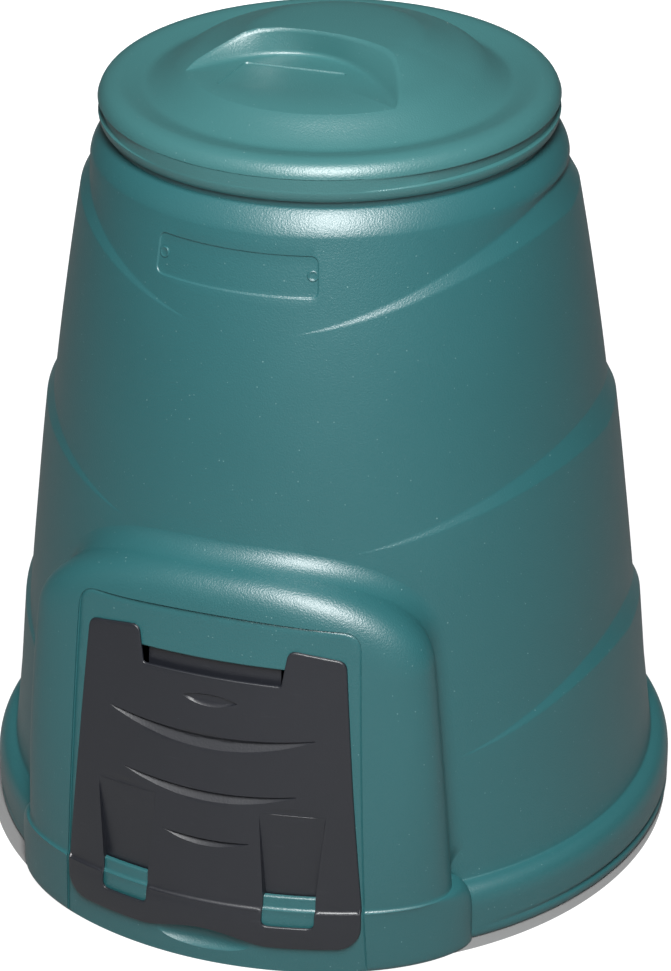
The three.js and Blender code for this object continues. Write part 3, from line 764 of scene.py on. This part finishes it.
class MakeShell(bpy.types.Operator):
    """Blown shell with its foot bead, hood, recess, opening, stepped bands, shoulder and neck"""

    bl_idname = "bin.shell"
    bl_label = "Shell"

    def execute(self, context):
        sizes = context.scene.bin_sizes
        angles = np.linspace(-180, 180, 241)[:-1]
        profiles = np.stack([wall_profile(a) for a in angles], 1)
        shell = loft("shell", turned(profiles[..., 0], angles[None], profiles[..., 1]))
        joined(shell, self.hood(), "UNION")
        joined(shell, self.toe(1000 * sizes.toe), "UNION")
        joined(shell, self.recess(RECESS_DEPTH, 0, True), "DIFFERENCE")
        joined(shell, self.opening(), "DIFFERENCE")
        joined(shell, self.finger_scoop(0), "DIFFERENCE")
        joined(shell, self.plate(1000 * sizes.plate_depth), "DIFFERENCE")
        joined(shell, self.hollow(1000 * sizes.wall), "DIFFERENCE")
        finish_piece(shell, "bin_shell", "shell", shell_plastic(), "body")
        return {"FINISHED"}

    def hood(self):
        up = np.sin(turns(90, 13)[1:]) ** (2 / ROUND)
        over = np.sin(turns(88.7, 30))[1:]
        bead_z = [0, 0.6, 1.6, 3.2, 5.2, 8, 16, 25, BELLY_Z, *(BELLY_Z + (HOOD_CREASE_Z - BELLY_Z) * up)]
        face_z = [73.3, 73.8, 74.5, 75.4, 76.6, *np.linspace(HOOD_CREASE_Z + 6, HOOD_BEND_Z, 24)]
        face_z += [*(HOOD_BEND_Z + (HOOD_TOP_Z - HOOD_BEND_Z) * over)]
        rings = [hood_bead_ring(z, 0, 121) for z in bead_z] + [hood_ring(z, 0, 121) for z in face_z]
        return loft("hood", rings)

    def toe(self, radius):
        """The hollow rounding between the hood's sides and top and the wall."""
        crown = HOOD_TOP_Z - HOOD_BEND_Z
        right = [(hood_spread(z), z) for z in np.linspace(78, HOOD_BEND_Z, 50)]
        over = []
        for turn in turns(180, 91)[1:-1]:
            side = math.cos(turn)
            round_side = math.copysign(abs(side) ** (2 / ROUND), side)
            over.append((HOOD_SPREAD * round_side, HOOD_BEND_Z + crown * math.sin(turn)))
        line = right + over + [(-a, z) for a, z in reversed(right)]
        degrees, z = np.array(line).T
        root = turned(np.array([wall_at(a, h) for a, h in line]), degrees, z)
        along = np.gradient(root, axis=0)
        along /= np.linalg.norm(along, axis=1)[:, None]
        out = outward(degrees)
        out[:, 2] = WALL_SLOPE
        out -= (out * along).sum(1)[:, None] * along
        out /= np.linalg.norm(out, axis=1)[:, None]
        away = np.cross(along, out)
        grow = np.clip((z - 76) / 24, 0.05, 1)[:, None] * radius
        spread = hood_spread(z)
        aside = ROUND / 2 * np.abs(degrees / spread) ** (ROUND - 1) / (np.radians(spread) * wall_radius(z))
        steep = np.hypot(aside, np.maximum(0, (z - HOOD_BEND_Z) / crown) / crown)
        depth = face_range(degrees, z, 0) - wall_radius(z) + HOOD_ROOT
        outer, inner = hood_powers(z)

        def lean(tall):
            """How far the hood's flank has gone back at a height over the wall."""
            share = np.clip((tall[:, 0] + HOOD_ROOT) / depth, 0, 0.9)
            back = (1 - (1 - share**inner) ** (1 / outer)) / steep
            return back[:, None] + tall * out[:, 2:]

        rings = []
        for turn in turns(90, 9):
            share = 1 - math.cos(turn)
            tall = grow * (1 - math.sin(turn))
            back = (lean(tall) + 0.25 * math.cos(turn)) * math.cos(turn)
            rings.append(root + away * (grow * share - back) + out * (tall - 0.25 * share**2))
        rings.append(root + away * (grow + 1) - out * 3)
        rings.append(root - away * 3 - out * 3)
        rings.append(root - away * (lean(grow) + 3) + out * (grow - 1.2))
        return loft("toe", np.stack(rings, 1))

    def recess(self, depth, growth, soft):
        loop = dense(rounded([(166, -6, 0), (149, 378, 20), (0, 384.6, 149)], 17, mirror=True), 7)
        levels, lines = [(growth, 0), (growth, 15)], []
        if soft:
            levels = [(-2.8, 0), (-2.2, -0.3), (-1.5, -0.9), (-0.4, -1), (0, -0.7)]
            levels += [(0.1, 2.1), (0.35, 2.75), (0.9, 3.15), (1.9, 3.4), (9, 14)]
            across = np.linspace(-158, 158, 60)
            lines = [np.stack([across, np.full(60, z)], 1) for z in bead_heights()]

        def place(x, z, out):
            return np.stack([x, front_y(x, z, depth - out, HOOD_BEAD_RADIUS - depth + out), z], -1)

        return cutter("recess", loop, levels, place, 6, lines)

    def opening(self):
        loop = dense(rounded([(128, 87, 2), (128, 333, 6)], 7, mirror=True), 7)
        levels = [(0, 40), (0, 5.6), (0.15, 4.7), (0.6, 3.9), (1.3, 3.35), (2.4, 3.0), (6, -12)]

        def place(x, z, depth):
            return np.stack([x, face_y(x, z, depth), z], -1)

        return cutter("opening", loop, levels, place, 14)

    def finger_scoop(self, growth):
        """A lens in the hood's bead under the hatch."""
        half, deep, tall = 69 + growth, 18 + growth, 15 + growth
        turn = turns(360, 65)[:-1]
        rings = []
        for tilt in np.radians(np.linspace(-88, 88, 33)):
            y = -391.3 + deep * math.cos(tilt) * np.cos(turn)
            z = 29 + tall * math.cos(tilt) * np.sin(turn)
            rings.append(np.stack([np.full(64, half * math.sin(tilt)), y, z], -1))
        return loft("scoop", rings)

    def plate(self, depth):
        """The bare plate on the front of the wall."""
        angles = np.linspace(-26, 22, 97)
        heights = np.linspace(680, 738, 30)
        radii = np.array([wall_at(a, heights) for a in angles])
        per_degree = PLATE_RADIUS * math.pi / 180

        def place(s, z, out):
            a = s / per_degree
            i = np.clip((a - angles[0]) / (angles[1] - angles[0]), 0, len(angles) - 1.001)
            k = np.clip((z - heights[0]) / (heights[1] - heights[0]), 0, len(heights) - 1.001)
            i0, k0 = i.astype(int), k.astype(int)
            i, k = i - i0, k - k0
            low = radii[i0, k0] * (1 - i) + radii[i0 + 1, k0] * i
            high = radii[i0, k0 + 1] * (1 - i) + radii[i0 + 1, k0 + 1] * i
            return turned(low * (1 - k) + high * k - depth + out, a, z)

        left, right = -22.3 * per_degree, 17 * per_degree
        loop = rounded([(right, 688, 8), (right, 728.5, 8), (left, 728.5, 8), (left, 688, 8)], 9)
        levels = [(-1.1, 0), (-0.6, 0.1), (-0.25, depth * 0.35), (0.15, depth * 0.75), (0.5, depth * 0.95)]
        levels += [(1.1, depth + 0.08), (2.0, depth + 0.2), (5, 6)]
        return cutter("plate", dense(loop, 4), levels, place, 8)

    def hollow(self, wall):
        angles = np.linspace(-180, 180, 97)[:-1]
        profiles = np.stack([inner_profile(a) for a in angles], 1)
        space = loft("hollow", turned(profiles[..., 0], angles[None], profiles[..., 1]))
        over = np.sin(np.radians([20, 40, 55, 67, 76, 83]))
        bead_z = [-6, 20, BELLY_Z, 52, 63, HOOD_CREASE_Z - wall]
        face_z = [150, 240, HOOD_BEND_Z, *(HOOD_BEND_Z + (HOOD_TOP_Z - wall - HOOD_BEND_Z) * over)]
        rings = [hood_bead_ring(z, wall, 41) for z in bead_z] + [hood_ring(z, wall, 41) for z in face_z]
        joined(space, loft("hood_inside", rings), "UNION")
        joined(space, self.recess(RECESS_DEPTH + wall, wall, False), "DIFFERENCE")
        joined(space, self.finger_scoop(wall), "DIFFERENCE")
        return space


class MakeHatch(bpy.types.Operator):
    """Injection-moulded hatch with its ears, tongue, crescents, channels, windows and flange"""

    bl_idname = "bin.hatch"
    bl_label = "Hatch"

    # Half width, tips, upper and lower edge at the middle
    crescents = ((113, 263.4, 254.3, 239.8), (96, 201, 193.9, 183.1), (48, 143.6, 141.2, 134))
    thumb = (30, 293, 298.5, 285.5)

    def execute(self, context):
        outline = self.outline()
        loops = [outline, *(self.mirrored(self.window(), side) for side in (-1, 1))]
        flat, faces = sheet(loops, self.lines(loops), 5)
        x, z = flat.T
        edge = np.minimum(self.edge_distance(flat, loops), 1.3)
        soft = 1.3 - np.sqrt(np.maximum(0, 1.3**2 - (1.3 - edge) ** 2))
        pressed = self.pressed(x, z, 1000 * context.scene.bin_sizes.crescent_depth)
        near_depth = soft * 0.85 + pressed + self.channel_depth(x, z, 0, 0.7)
        far_depth = 2.6 + self.channel_depth(x, z, 2.4, 0.5) * (z > 87)
        front = front_y(x, z, 0, HATCH_BEAD_RADIUS)
        hatch = slab("hatch", flat, faces, front + near_depth, front + np.maximum(far_depth, near_depth + 1))
        joined(hatch, self.bar([(70, 308.4, 0), (70, 311, 0)], 1.3, 10.1), "UNION")
        joined(hatch, self.bar([(70, 308.4, 0), (70, 352, 3)], 8.8, 11.4), "UNION")
        for side in (-1, 1):
            joined(hatch, self.tail(side), "UNION")
        finish_piece(hatch, "hatch_panel", "hatch", plastic("hatch"), "hatch")
        return {"FINISHED"}

    def outline(self):
        across = np.linspace(0, 68, 18)
        arch = [(x, 31.5 + 11.5 * (0.5 + 0.5 * math.cos(math.pi * x / 68)) ** 0.75, 0) for x in across]
        foot = [(146, 31.5, 10), (159.5, 46, 10), (159.5, 73, 0), (147.6, 205, 0)]
        ear = [(136, 348.5, 9), (79, 355.8, 9), (73, 317, 3)]
        return dense(rounded([*arch, *foot, *ear], 9, mirror=True), 4)

    def window(self):
        """The right window, with square corners at its head."""
        head = [(115, 87.3, 0), (114.3, 87.3, 0), (63.3, 87.3, 0), (62.6, 87.3, 0)]
        return dense(rounded([(62.6, 56, 7), (115, 56, 7), *head], 9), 4)

    def mirrored(self, loop, side):
        return loop if side > 0 else (loop * [-1, 1])[::-1]

    def lines(self, loops):
        """Lines that the hatch's triangles follow, where its face turns."""
        lines = []
        for loop in loops:
            for step in (0.2, 0.65, 1.4):
                line = grown(loop, -step if loop is loops[0] else step)
                lines.append(np.concatenate([line, line[:1]]))
        for shape in (*self.crescents, self.thumb):
            for share in (0.0, 0.15, 0.3, 0.42, 0.5, 0.75, 0.97, 1.0):
                lines.append(self.crescent_line(shape, share))
        for side in (-1, 1):
            for inset in (-2.9, -2.4, -0.5, 0, 0.7, 1.3):
                lines.append(self.channel_line(side, inset))
        for z in bead_heights():
            for x0, x1 in ((-158, -119), (-58, 58), (119, 158)):
                reach = 1.6 if z > 46 else 14
                x = np.linspace(x0 + (reach if x0 < -150 else 0), x1 - (reach if x1 > 150 else 0), 20)
                if z > 45.5 or abs(x0) > 60:
                    lines.append(np.stack([x, np.full(20, z)], 1))
        return lines

    def crescent_line(self, shape, share):
        half, tip, top, low = shape
        reach = 0.985 if share in (0, 1) else 0.955
        x = half * reach * crowded(49)
        level = 1 - (x / half) ** 2
        return np.stack([x, tip + ((top - tip) + (low - top) * share) * level], 1)

    def channel_sides(self, z):
        t = np.clip((z - 85.5) / (CHANNEL_TOP_Z - 85.5), 0, 1)
        return 62.6 - 7.2 * t, 115 + 7.7 * t

    def channel_line(self, side, inset):
        z = np.linspace(88.2, CHANNEL_TOP_Z - max(inset, -2.4), 24)
        inner, outer = self.channel_sides(z)
        line = np.concatenate([np.stack([inner + inset, z], 1), np.stack([outer - inset, z], 1)[::-1]])
        return line * [side, 1]

    def channel_sink(self, z):
        return 0.25 + 8.55 * np.clip((CHANNEL_TOP_Z - z) / 93, 0, 1)

    def channel_depth(self, x, z, growth, step):
        inner, outer = self.channel_sides(z)
        inside = np.minimum(np.minimum(np.abs(x) - inner, outer - np.abs(x)), CHANNEL_TOP_Z - z) + growth
        return np.where(z > 86.9, self.channel_sink(z) * np.clip(inside / step, 0, 1), 0)

    def pressed(self, x, z, depth):
        """Depth of the crescents and of the thumb's lens."""
        total = np.zeros(len(x))
        for shape, deep in zip((*self.crescents, self.thumb), (depth, depth, depth * 0.9, 1.9)):
            half, tip, top, low = shape
            level = np.maximum(1 - (x / half) ** 2, 0)
            share = (tip + (top - tip) * level - z) / np.maximum((top - low) * level, 1e-6)
            share = np.where(level > 0, share, -1)
            if shape is self.thumb:
                ends = np.clip(share / 0.15, 0, 1) * np.clip((1 - share) / 0.15, 0, 1)
                cut = ends * np.minimum(1, level * 4)
            else:
                falling = np.sin(np.pi / 2 * np.clip(share / 0.42, 0, 1)) ** 1.3
                cut = np.where(share < 0.42, falling, (1 - share) / 0.58) * np.sqrt(level)
            total += deep * np.where((share > 0) & (share < 1), cut, 0)
        return total

    def edge_distance(self, flat, loops):
        best = np.full(len(flat), 1e9)
        for loop in loops:
            for a, b in zip(loop, np.roll(loop, -1, 0)):
                run = b - a
                t = np.clip(((flat - a) @ run) / (run @ run), 0, 1)
                best = np.minimum(best, np.linalg.norm(flat - a - t[:, None] * run, axis=1))
        return best

    def bar(self, half, near, far):
        flat, faces = sheet([dense(rounded(half, 5, mirror=True), 6)], [], 8)
        x, z = flat.T
        return slab("bar", flat, faces, face_y(x, z, near), face_y(x, z, far))

    def tail(self, side):
        """The plate under a window, which goes behind the sill."""
        loop = rounded([(61.4, 70, 4), (116.2, 70, 4), (116.6, 91, 0), (61.0, 91, 0)], 5)
        flat, faces = sheet([dense(self.mirrored(loop, side), 5)], [], 8)
        x, z = flat.T
        sink = self.channel_sink(np.maximum(z, 87))
        return slab("tail", flat, faces, face_y(x, z, sink + 0.05), face_y(x, z, sink + 2.55))


class MakeLid(bpy.types.Operator):
    """Lid with its double rim, dome and scooped grip, turned by a Geometry Nodes tree"""

    bl_idname = "bin.lid"
    bl_label = "Lid"

    # Share of the radius, height, share of the groove
    skirt = (
        *((0, 778, 0), (0.983, 778, 0), (0.9885, 779.3, 0), (0.9935, 781.8, 0), (0.997, 784.8, 0)),
        *((0.9988, 787.6, 0), (0.999, 788.8, 0.1), (0.9985, 789.4, 0.7), (0.9985, 790.2, 1)),
        *((0.9985, 799.4, 1), (0.9985, 800.6, 0.75), (0.9985, 801.4, 0.2), (0.9985, 802.6, 0)),
    )
    # Share of the radius, height, share of the swell behind
    crown = (
        *((0.9985, 801.8, 0), (0.993, 806.2, 0), (0.982, 810.6, 0), (0.965, 814.4, 0), (0.942, 817, 0)),
        *((0.915, 818.2, 0), (0.885, 817.2, 0), (0.846, 814.6, 0), (0.795, 812.04, 0), (0.752, 815.68, 0.1)),
        *((0.7, 822.96, 0.4), (0.64, 832.32, 0.8), (0.58, 839.08, 1), (0.5, 845.32, 1), (0.42, 852.6, 1)),
        *((0.37, 857.8, 1), (0.31, 861.18, 0.9), (0.22, 862.48, 0.5), (0.08, 863, 0), (0, 863, 0)),
    )

    def execute(self, context):
        tree, green = self.turning_tree(), plastic("lid")
        lid = self.turn_profile("lid", tree, self.outside(), 181, green)
        space = self.turn_profile("lid_space", tree, self.inside(), 73, green)
        joined(space, self.grip_scoop(LID_WALL, False), "DIFFERENCE")
        joined(lid, self.grip_scoop(0, True), "DIFFERENCE")
        joined(lid, space, "DIFFERENCE")
        joined(lid, self.plate(1000 * context.scene.bin_sizes.plate_depth * 1.1), "DIFFERENCE")
        finish_piece(lid, "lid_cap", "lid", green, "lid")
        return {"FINISHED"}

    def smooth(self, points, parts=5):
        """A Catmull-Rom line through points."""
        points = np.asarray(points, float)
        padded = np.concatenate([2 * points[:1] - points[1:2], points, 2 * points[-1:] - points[-2:-1]])
        t = np.linspace(0, 1, parts, endpoint=False)[:, None]
        out = []
        for a, b, c, d in zip(padded, padded[1:], padded[2:], padded[3:]):
            bend, twist = 2 * a - 5 * b + 4 * c - d, 3 * b - a - 3 * c + d
            out.append(0.5 * (2 * b + (c - a) * t + bend * t**2 + twist * t**3))
        return np.concatenate([*out, points[-1:]])

    def outside(self):
        """Rows of radius, height, groove and swell, from the skirt's foot to the middle."""
        low = np.array([(r * LID_RADIUS, z, groove, 0) for r, z, groove in self.skirt])
        high = self.smooth([(r * LID_RADIUS, z, 0, swell) for r, z, swell in self.crown])
        high[:, 1] = np.minimum(high[:, 1], GRIP_TOP_Z)
        high[:, 3] = np.clip(high[:, 3], 0, 1)
        high[-6:, 3] = 0
        return np.concatenate([low, high])

    def inside(self):
        rows = [(0, 772, 0, 0), (228.5, 772, 0, 0), (228.5, 789, 0, 0), (228, 790, 1, 0)]
        rows += [(228, 800, 1, 0), (227, 807, 0.4, 0), (222, 812, 0, 0)]
        rows += [(LID_RADIUS * r - 1.6, z - LID_WALL, 0, swell) for r, z, swell in self.crown[5:-2]]
        return np.array([*rows, (0, GRIP_TOP_Z - LID_WALL, 0, 0)])

    def turn_profile(self, name, tree, rows, around, finish):
        """A flat strip of the profile, wound round the bin's axis by the tree."""
        count = len(rows)
        angles = np.repeat(np.linspace(-math.pi, math.pi, around), count)
        radii, heights, groove, swell = np.tile(rows, (around, 1)).T
        strip = np.stack([angles, radii * 0.001, heights * 0.001], 1)
        starts = [i * count + k for i in range(around - 1) for k in range(count - 1)]
        mesh = bpy.data.meshes.new(name + "_flat")
        mesh.from_pydata(strip.tolist(), [], [(a, a + count, a + count + 1, a + 1) for a in starts])
        for label, values in (("groove", groove), ("swell", swell)):
            mesh.attributes.new(label, "FLOAT", "POINT").data.foreach_set("value", values.astype(np.float32))
        depth = bpy.context.scene.bin_sizes.lid_groove
        done = worked(mesh, tree, {"Groove depth": depth, "Finish": finish})
        points = np.zeros(len(done.vertices) * 3)
        done.vertices.foreach_get("co", points)
        made = object_from(name, points.reshape(-1, 3) * 1000, [tuple(p.vertices) for p in done.polygons])
        bpy.data.meshes.remove(done)
        return made

    def turning_tree(self):
        """Winds a strip of angle, radius and height round an upright axis, with its groove and swell."""
        numbers = {
            "Groove depth": 0.004,
            "Groove start": math.radians(26),
            "Groove full": math.radians(60),
            "Back swell": LID_BACK_SWELL * 0.001,
            "Axis Y": AXIS_Y * 0.001,
        }
        inputs = [("Geometry", "Geometry", None), ("Finish", "Material", None)]
        inputs += [(label, "Float", value) for label, value in numbers.items()]
        tree, given, out = group_tree("turned moulding", "GeometryNodeTree", ("Geometry", "Geometry"), inputs)
        place = node(tree, "ShaderNodeSeparateXYZ", [(0, node(tree, "GeometryNodeInputPosition").outputs[0])])
        angle, radius, height = place.outputs
        groove, swell = (
            node(tree, "GeometryNodeInputNamedAttribute", [("Name", label)], data_type="FLOAT").outputs[0]
            for label in ("groove", "swell")
        )
        past = minus(tree, calc(tree, "ABSOLUTE", angle), given["Groove start"])
        run = minus(tree, given["Groove full"], given["Groove start"])
        fade = calc(tree, "DIVIDE", past, run, clamp=True)
        sunk = times(tree, times(tree, groove, fade), given["Groove depth"])
        behind = calc(tree, "MAXIMUM", times(tree, calc(tree, "COSINE", angle), -1), 0)
        swelled = times(tree, times(tree, swell, behind), given["Back swell"])
        reach = plus(tree, minus(tree, radius, sunk), swelled)
        x = times(tree, reach, calc(tree, "SINE", angle))
        y = minus(tree, given["Axis Y"], times(tree, reach, calc(tree, "COSINE", angle)))
        wound = node(tree, "ShaderNodeCombineXYZ", [(0, x), (1, y), (2, height)]).outputs[0]
        moved = node(tree, "GeometryNodeSetPosition", [("Geometry", given["Geometry"]), ("Position", wound)])
        values = [("Geometry", moved.outputs[0]), ("Distance", 1e-6)]
        closed = node(tree, "GeometryNodeMergeByDistance", values)
        real_and_painted(tree, closed.outputs[0], given, out)
        return tree

    def dome_height(self, x, y):
        """Height of the dome's outside over a place about the axis."""
        behind = max(0.0, y / max(math.hypot(x, y), 1e-6))
        rows = [(LID_RADIUS * r + LID_BACK_SWELL * swell * behind, z) for r, z, swell in self.crown[:4:-1]]
        return float(np.interp(math.hypot(x, y), *zip(*rows)))

    def grip_scoop(self, growth, soft):
        """What the fingers reach into: a flat floor and a front wall that leans over it."""
        floor, rise = SCOOP_FLOOR_Z - growth, GRIP_TOP_Z - SCOOP_FLOOR_Z
        columns = []
        for u in np.linspace(-1, 1, 81 if soft else 25):
            foot = np.array([GRIP_X + (GRIP_HALF + growth) * u, 4 - 110 * u * u + growth, 0.0])
            crest = np.array([foot[0], -3 - 40 * u * u + growth, 0.0])
            slope = (crest - foot) / rise
            normal = np.array([150 * u * (4 / 3) / GRIP_HALF, 1.0, 0.0])
            normal /= np.linalg.norm(normal)

            def at(z, out):
                return foot + slope * (z - SCOOP_FLOOR_Z) + normal * out + [0, 0, z]

            column = [at(floor, 0), at(869, 0)]
            if soft:
                edge = self.scoop_edge(at, floor)
                r = min(6.0, 0.55 * (edge - floor))
                lip = min(4.5, 0.42 * (edge - floor))
                column = list(corner(at(floor, -r), at(floor, 0), at(floor + r, 0), 7))
                for up, out in ((-1, 0), (-0.5, 0.12), (0, 0.5), (0.25, 1.2), (0.5, 2.4)):
                    column.append(at(edge + up * lip, out * lip))
                column.append(at(880, 14))
            columns.append(column)
        for x in (GRIP_HALF + growth, -GRIP_HALF - growth):
            zs = [p[2] for p in columns[-1 if x > 0 else 0]]
            columns.append([np.array([GRIP_X + x, -190.0, z]) for z in zs])
        rings = np.array(columns).transpose(1, 0, 2)
        rings[..., 1] += AXIS_Y
        return loft("grip_scoop", rings)

    def scoop_edge(self, at, floor):
        """Height at which the scoop's front wall comes out of the dome."""
        low, high = floor, 872.0
        for _ in range(30):
            edge = (low + high) / 2
            low, high = (low, edge) if edge >= self.dome_height(*at(edge, 0)[:2]) else (edge, high)
        return max(edge, floor + 0.5)

    def plate(self, depth):
        """The bare plate on the scoop's floor."""
        loop = dense(rounded([(28, -87, 5), (30, -31, 5), (-78, -34, 5), (-83, -100, 5)], 7), 5)
        levels = [(-1.2, 0), (-0.5, 0.08), (0, depth * 0.6), (0.4, depth), (1.0, depth + 0.1), (2.5, 4)]

        def place(x, y, out):
            return np.stack([x, y + AXIS_Y, np.full_like(x, SCOOP_FLOOR_Z - depth) + out], -1)

        return cutter("lid_plate", loop, levels, place, 12)


class MakeBosses(bpy.types.Operator):
    """Two small round bosses on the wall's bare plate, placed by Geometry Nodes"""

    bl_idname = "bin.bosses"
    bl_label = "Plate bosses"

    def execute(self, context):
        depth = 1000 * context.scene.bin_sizes.plate_depth
        points, normals = [], []
        for degrees in (-20.6, 15.8):
            r = float(wall_at(degrees, BOSS_Z)) - depth - 0.2
            points.append(tuple(map(float, turned(r, degrees, BOSS_Z) * 0.001)))
            out = outward(degrees)
            normals.append(Vector((out[0], out[1], WALL_SLOPE)).normalized())
        seats = bpy.data.meshes.new("boss_seats")
        seats.from_pydata(points, [], [])
        facing = seats.attributes.new("facing", "FLOAT_VECTOR", "POINT")
        facing.data.foreach_set("vector", np.array(normals).ravel())
        disc = self.disc()
        mesh = worked(seats, self.seating_tree(), {"Boss": disc, "Finish": shell_plastic()})
        used_up(disc)
        bosses = linked("plate_bosses", mesh)
        finish_piece(bosses, "plate_bosses", "shell", shell_plastic(), None)
        return {"FINISHED"}

    def seating_tree(self):
        """Sets an object on each point, turned the way the point faces."""
        inputs = [("Geometry", "Geometry", None), ("Boss", "Object", None)]
        inputs += [("Size", "Float", 1.0), ("Finish", "Material", None)]
        tree, given, out = group_tree("seated bosses", "GeometryNodeTree", ("Geometry", "Geometry"), inputs)
        facing = node(tree, "GeometryNodeInputNamedAttribute", [("Name", "facing")], data_type="FLOAT_VECTOR")
        turn = node(tree, "FunctionNodeAlignEulerToVector", [("Vector", facing.outputs[0])], axis="Z")
        shape = node(tree, "GeometryNodeObjectInfo", [("Object", given["Boss"])])
        values = [("Points", given["Geometry"]), ("Instance", shape.outputs["Geometry"])]
        values += [("Rotation", turn.outputs[0]), ("Scale", given["Size"])]
        placed = node(tree, "GeometryNodeInstanceOnPoints", values)
        real_and_painted(tree, placed.outputs[0], given, out)
        return tree

    def disc(self):
        """A low round boss with a shallow hollow in its top, facing up."""
        profile = [(5.8, -0.9), (5.8, 0.5), (5.4, 1.15), (4.7, 1.45)]
        profile += [(4.0, 1.3), (3.4, 0.95), (2.2, 0.8), (0.8, 0.8)]
        return loft("boss", [circle(r, h, 36) for r, h in profile])


class MakeStudio(bpy.types.Operator):
    """Pale floor, soft lamps, white surround and the camera"""

    bl_idname = "bin.studio"
    bl_label = "Studio"

    def execute(self, context):
        self.camera(context)
        self.floor(context)
        self.world(context)
        self.lamp("key_lamp", (0.88, -2.42, 3.48), 0.7, 2.4, 240)
        self.lamp("side_lamp", (-3.2, -2.2, 2.0), 1.8, 2.2, 2)
        self.lamp("back_lamp", (-1.03, 2.84, 0.5), 2.0, 0.7, 60).visible_glossy = False
        context.scene.view_settings.view_transform = "Standard"
        return {"FINISHED"}

    def camera(self, context):
        made = bpy.data.cameras.new("photo_camera")
        made.lens, made.sensor_width = PHOTO_FOCAL * 36 / PHOTO_HEIGHT, 36
        made.clip_start, made.clip_end = 0.1, 60
        eye = linked("photo_camera", made)
        turn, tilt, roll = math.radians(19.69), math.radians(28.255), -0.006
        look = Vector((-math.sin(turn) * math.cos(tilt), math.cos(turn) * math.cos(tilt), -math.sin(tilt)))
        eye.rotation_mode = "QUATERNION"
        eye.rotation_quaternion = look.to_track_quat("-Z", "Y") @ Quaternion((0, 0, 1), roll)
        eye.location = (1.1141, -3.1028 + AXIS_Y * 0.001, 2.12)
        context.scene.camera = eye

    def floor(self, context):
        """A round pale floor that turns up at its edge, seen as near white."""
        made = bpy.data.materials.new("studio_floor")
        made.use_nodes = True
        tree = made.node_tree
        shader = tree.nodes["Principled BSDF"]
        shader.inputs["Roughness"].default_value = 0.9
        place = node(tree, "ShaderNodeTexCoord").outputs["Object"]
        colour = (*context.scene.bin_colours.floor, 1)
        grain = mixed(tree, noise(tree, place, 3, 2), colour, (0.26, 0.26, 0.26, 1))
        tree.links.new(grain, shader.inputs["Base Color"])
        shader.inputs["Emission Color"].default_value = WHITE
        away = node(tree, "ShaderNodeVectorMath", [(0, place)], operation="LENGTH").outputs["Value"]
        around = times(tree, self.seen(tree), calc(tree, "GREATER_THAN", away, 0.372))
        glow = plus(tree, times(tree, away, 0.05), 0.82, clamp=True)
        tree.links.new(times(tree, around, glow), shader.inputs["Emission Strength"])
        rings = ((0.01, 0), (2000, 0), (6000, 0), (9000, 60), (10500, 500), (11500, 1800))
        points = np.concatenate([circle(r, h, 96) for r, h in rings])
        faces = []
        for k in range(0, 5 * 96, 96):
            for i, j in zip(range(96), [*range(1, 96), 0]):
                faces.append((k + i, k + j, k + 96 + j, k + 96 + i))
        mesh = bpy.data.meshes.new("floor")
        mesh.from_pydata((points * 0.001).tolist(), [], faces)
        mesh.polygons.foreach_set("use_smooth", np.ones(len(mesh.polygons), bool))
        mesh.materials.append(made)
        floor = linked("floor", mesh)

    def world(self, context):
        made = bpy.data.worlds.new("studio")
        made.use_nodes = True
        tree = made.node_tree
        back = tree.nodes["Background"]
        strength = node(tree, "ShaderNodeMix", [(0, self.seen(tree)), (2, WORLD_FILL), (3, 1)])
        tree.links.new(strength.outputs[0], back.inputs["Strength"])
        back.inputs["Color"].default_value = WHITE
        context.scene.world = made

    def seen(self, tree):
        """One for what the camera sees straight or through glass, a part of it for what shines back."""
        path = node(tree, "ShaderNodeLightPath").outputs
        straight = calc(tree, "MAXIMUM", path["Is Camera Ray"], path["Is Transmission Ray"])
        return plus(tree, straight, times(tree, path["Is Glossy Ray"], GLOSS_SHARE), clamp=True)

    def lamp(self, name, place, width, height, power):
        """A flat lamp that looks at the middle of the bin."""
        made = bpy.data.lights.new(name, "AREA")
        made.shape, made.size, made.size_y, made.energy = "RECTANGLE", width, height, power
        lit = linked(name, made)
        lit.location = place
        lit.rotation_mode = "QUATERNION"
        lit.rotation_quaternion = (Vector((0, 0, 0.42)) - Vector(place)).to_track_quat("-Z", "Y")
        return lit


class BinPanel(bpy.types.Panel):
    """Lists the bin's pieces, sizes and colours"""

    bl_idname = "VIEW3D_PT_compost_bin"
    bl_label = "Compost bin"
    bl_space_type = "VIEW_3D"
    bl_region_type = "UI"
    bl_category = "Compost bin"

    def draw(self, context):
        for group in (context.scene.bin_sizes, context.scene.bin_colours):
            box = self.layout.box()
            for name in group.__annotations__:
                box.prop(group, name)
        for step in STEPS:
            self.layout.operator(step.bl_idname)


STEPS = (MakeStudio, MakeShell, MakeBosses, MakeHatch, MakeLid)
CLASSES = (BinSizes, BinColours, *STEPS, BinPanel)


def register():
    for each in CLASSES:
        bpy.utils.register_class(each)
    bpy.types.Scene.bin_sizes = bpy.props.PointerProperty(type=BinSizes)
    bpy.types.Scene.bin_colours = bpy.props.PointerProperty(type=BinColours)


def unregister():
    del bpy.types.Scene.bin_colours
    del bpy.types.Scene.bin_sizes
    for each in reversed(CLASSES):
        bpy.utils.unregister_class(each)


def main():
    register()
    bpy.ops.bin.studio()
    bpy.ops.bin.shell()
    bpy.ops.bin.bosses()
    bpy.ops.bin.hatch()
    bpy.ops.bin.lid()


if __name__ == "__main__":
    main()
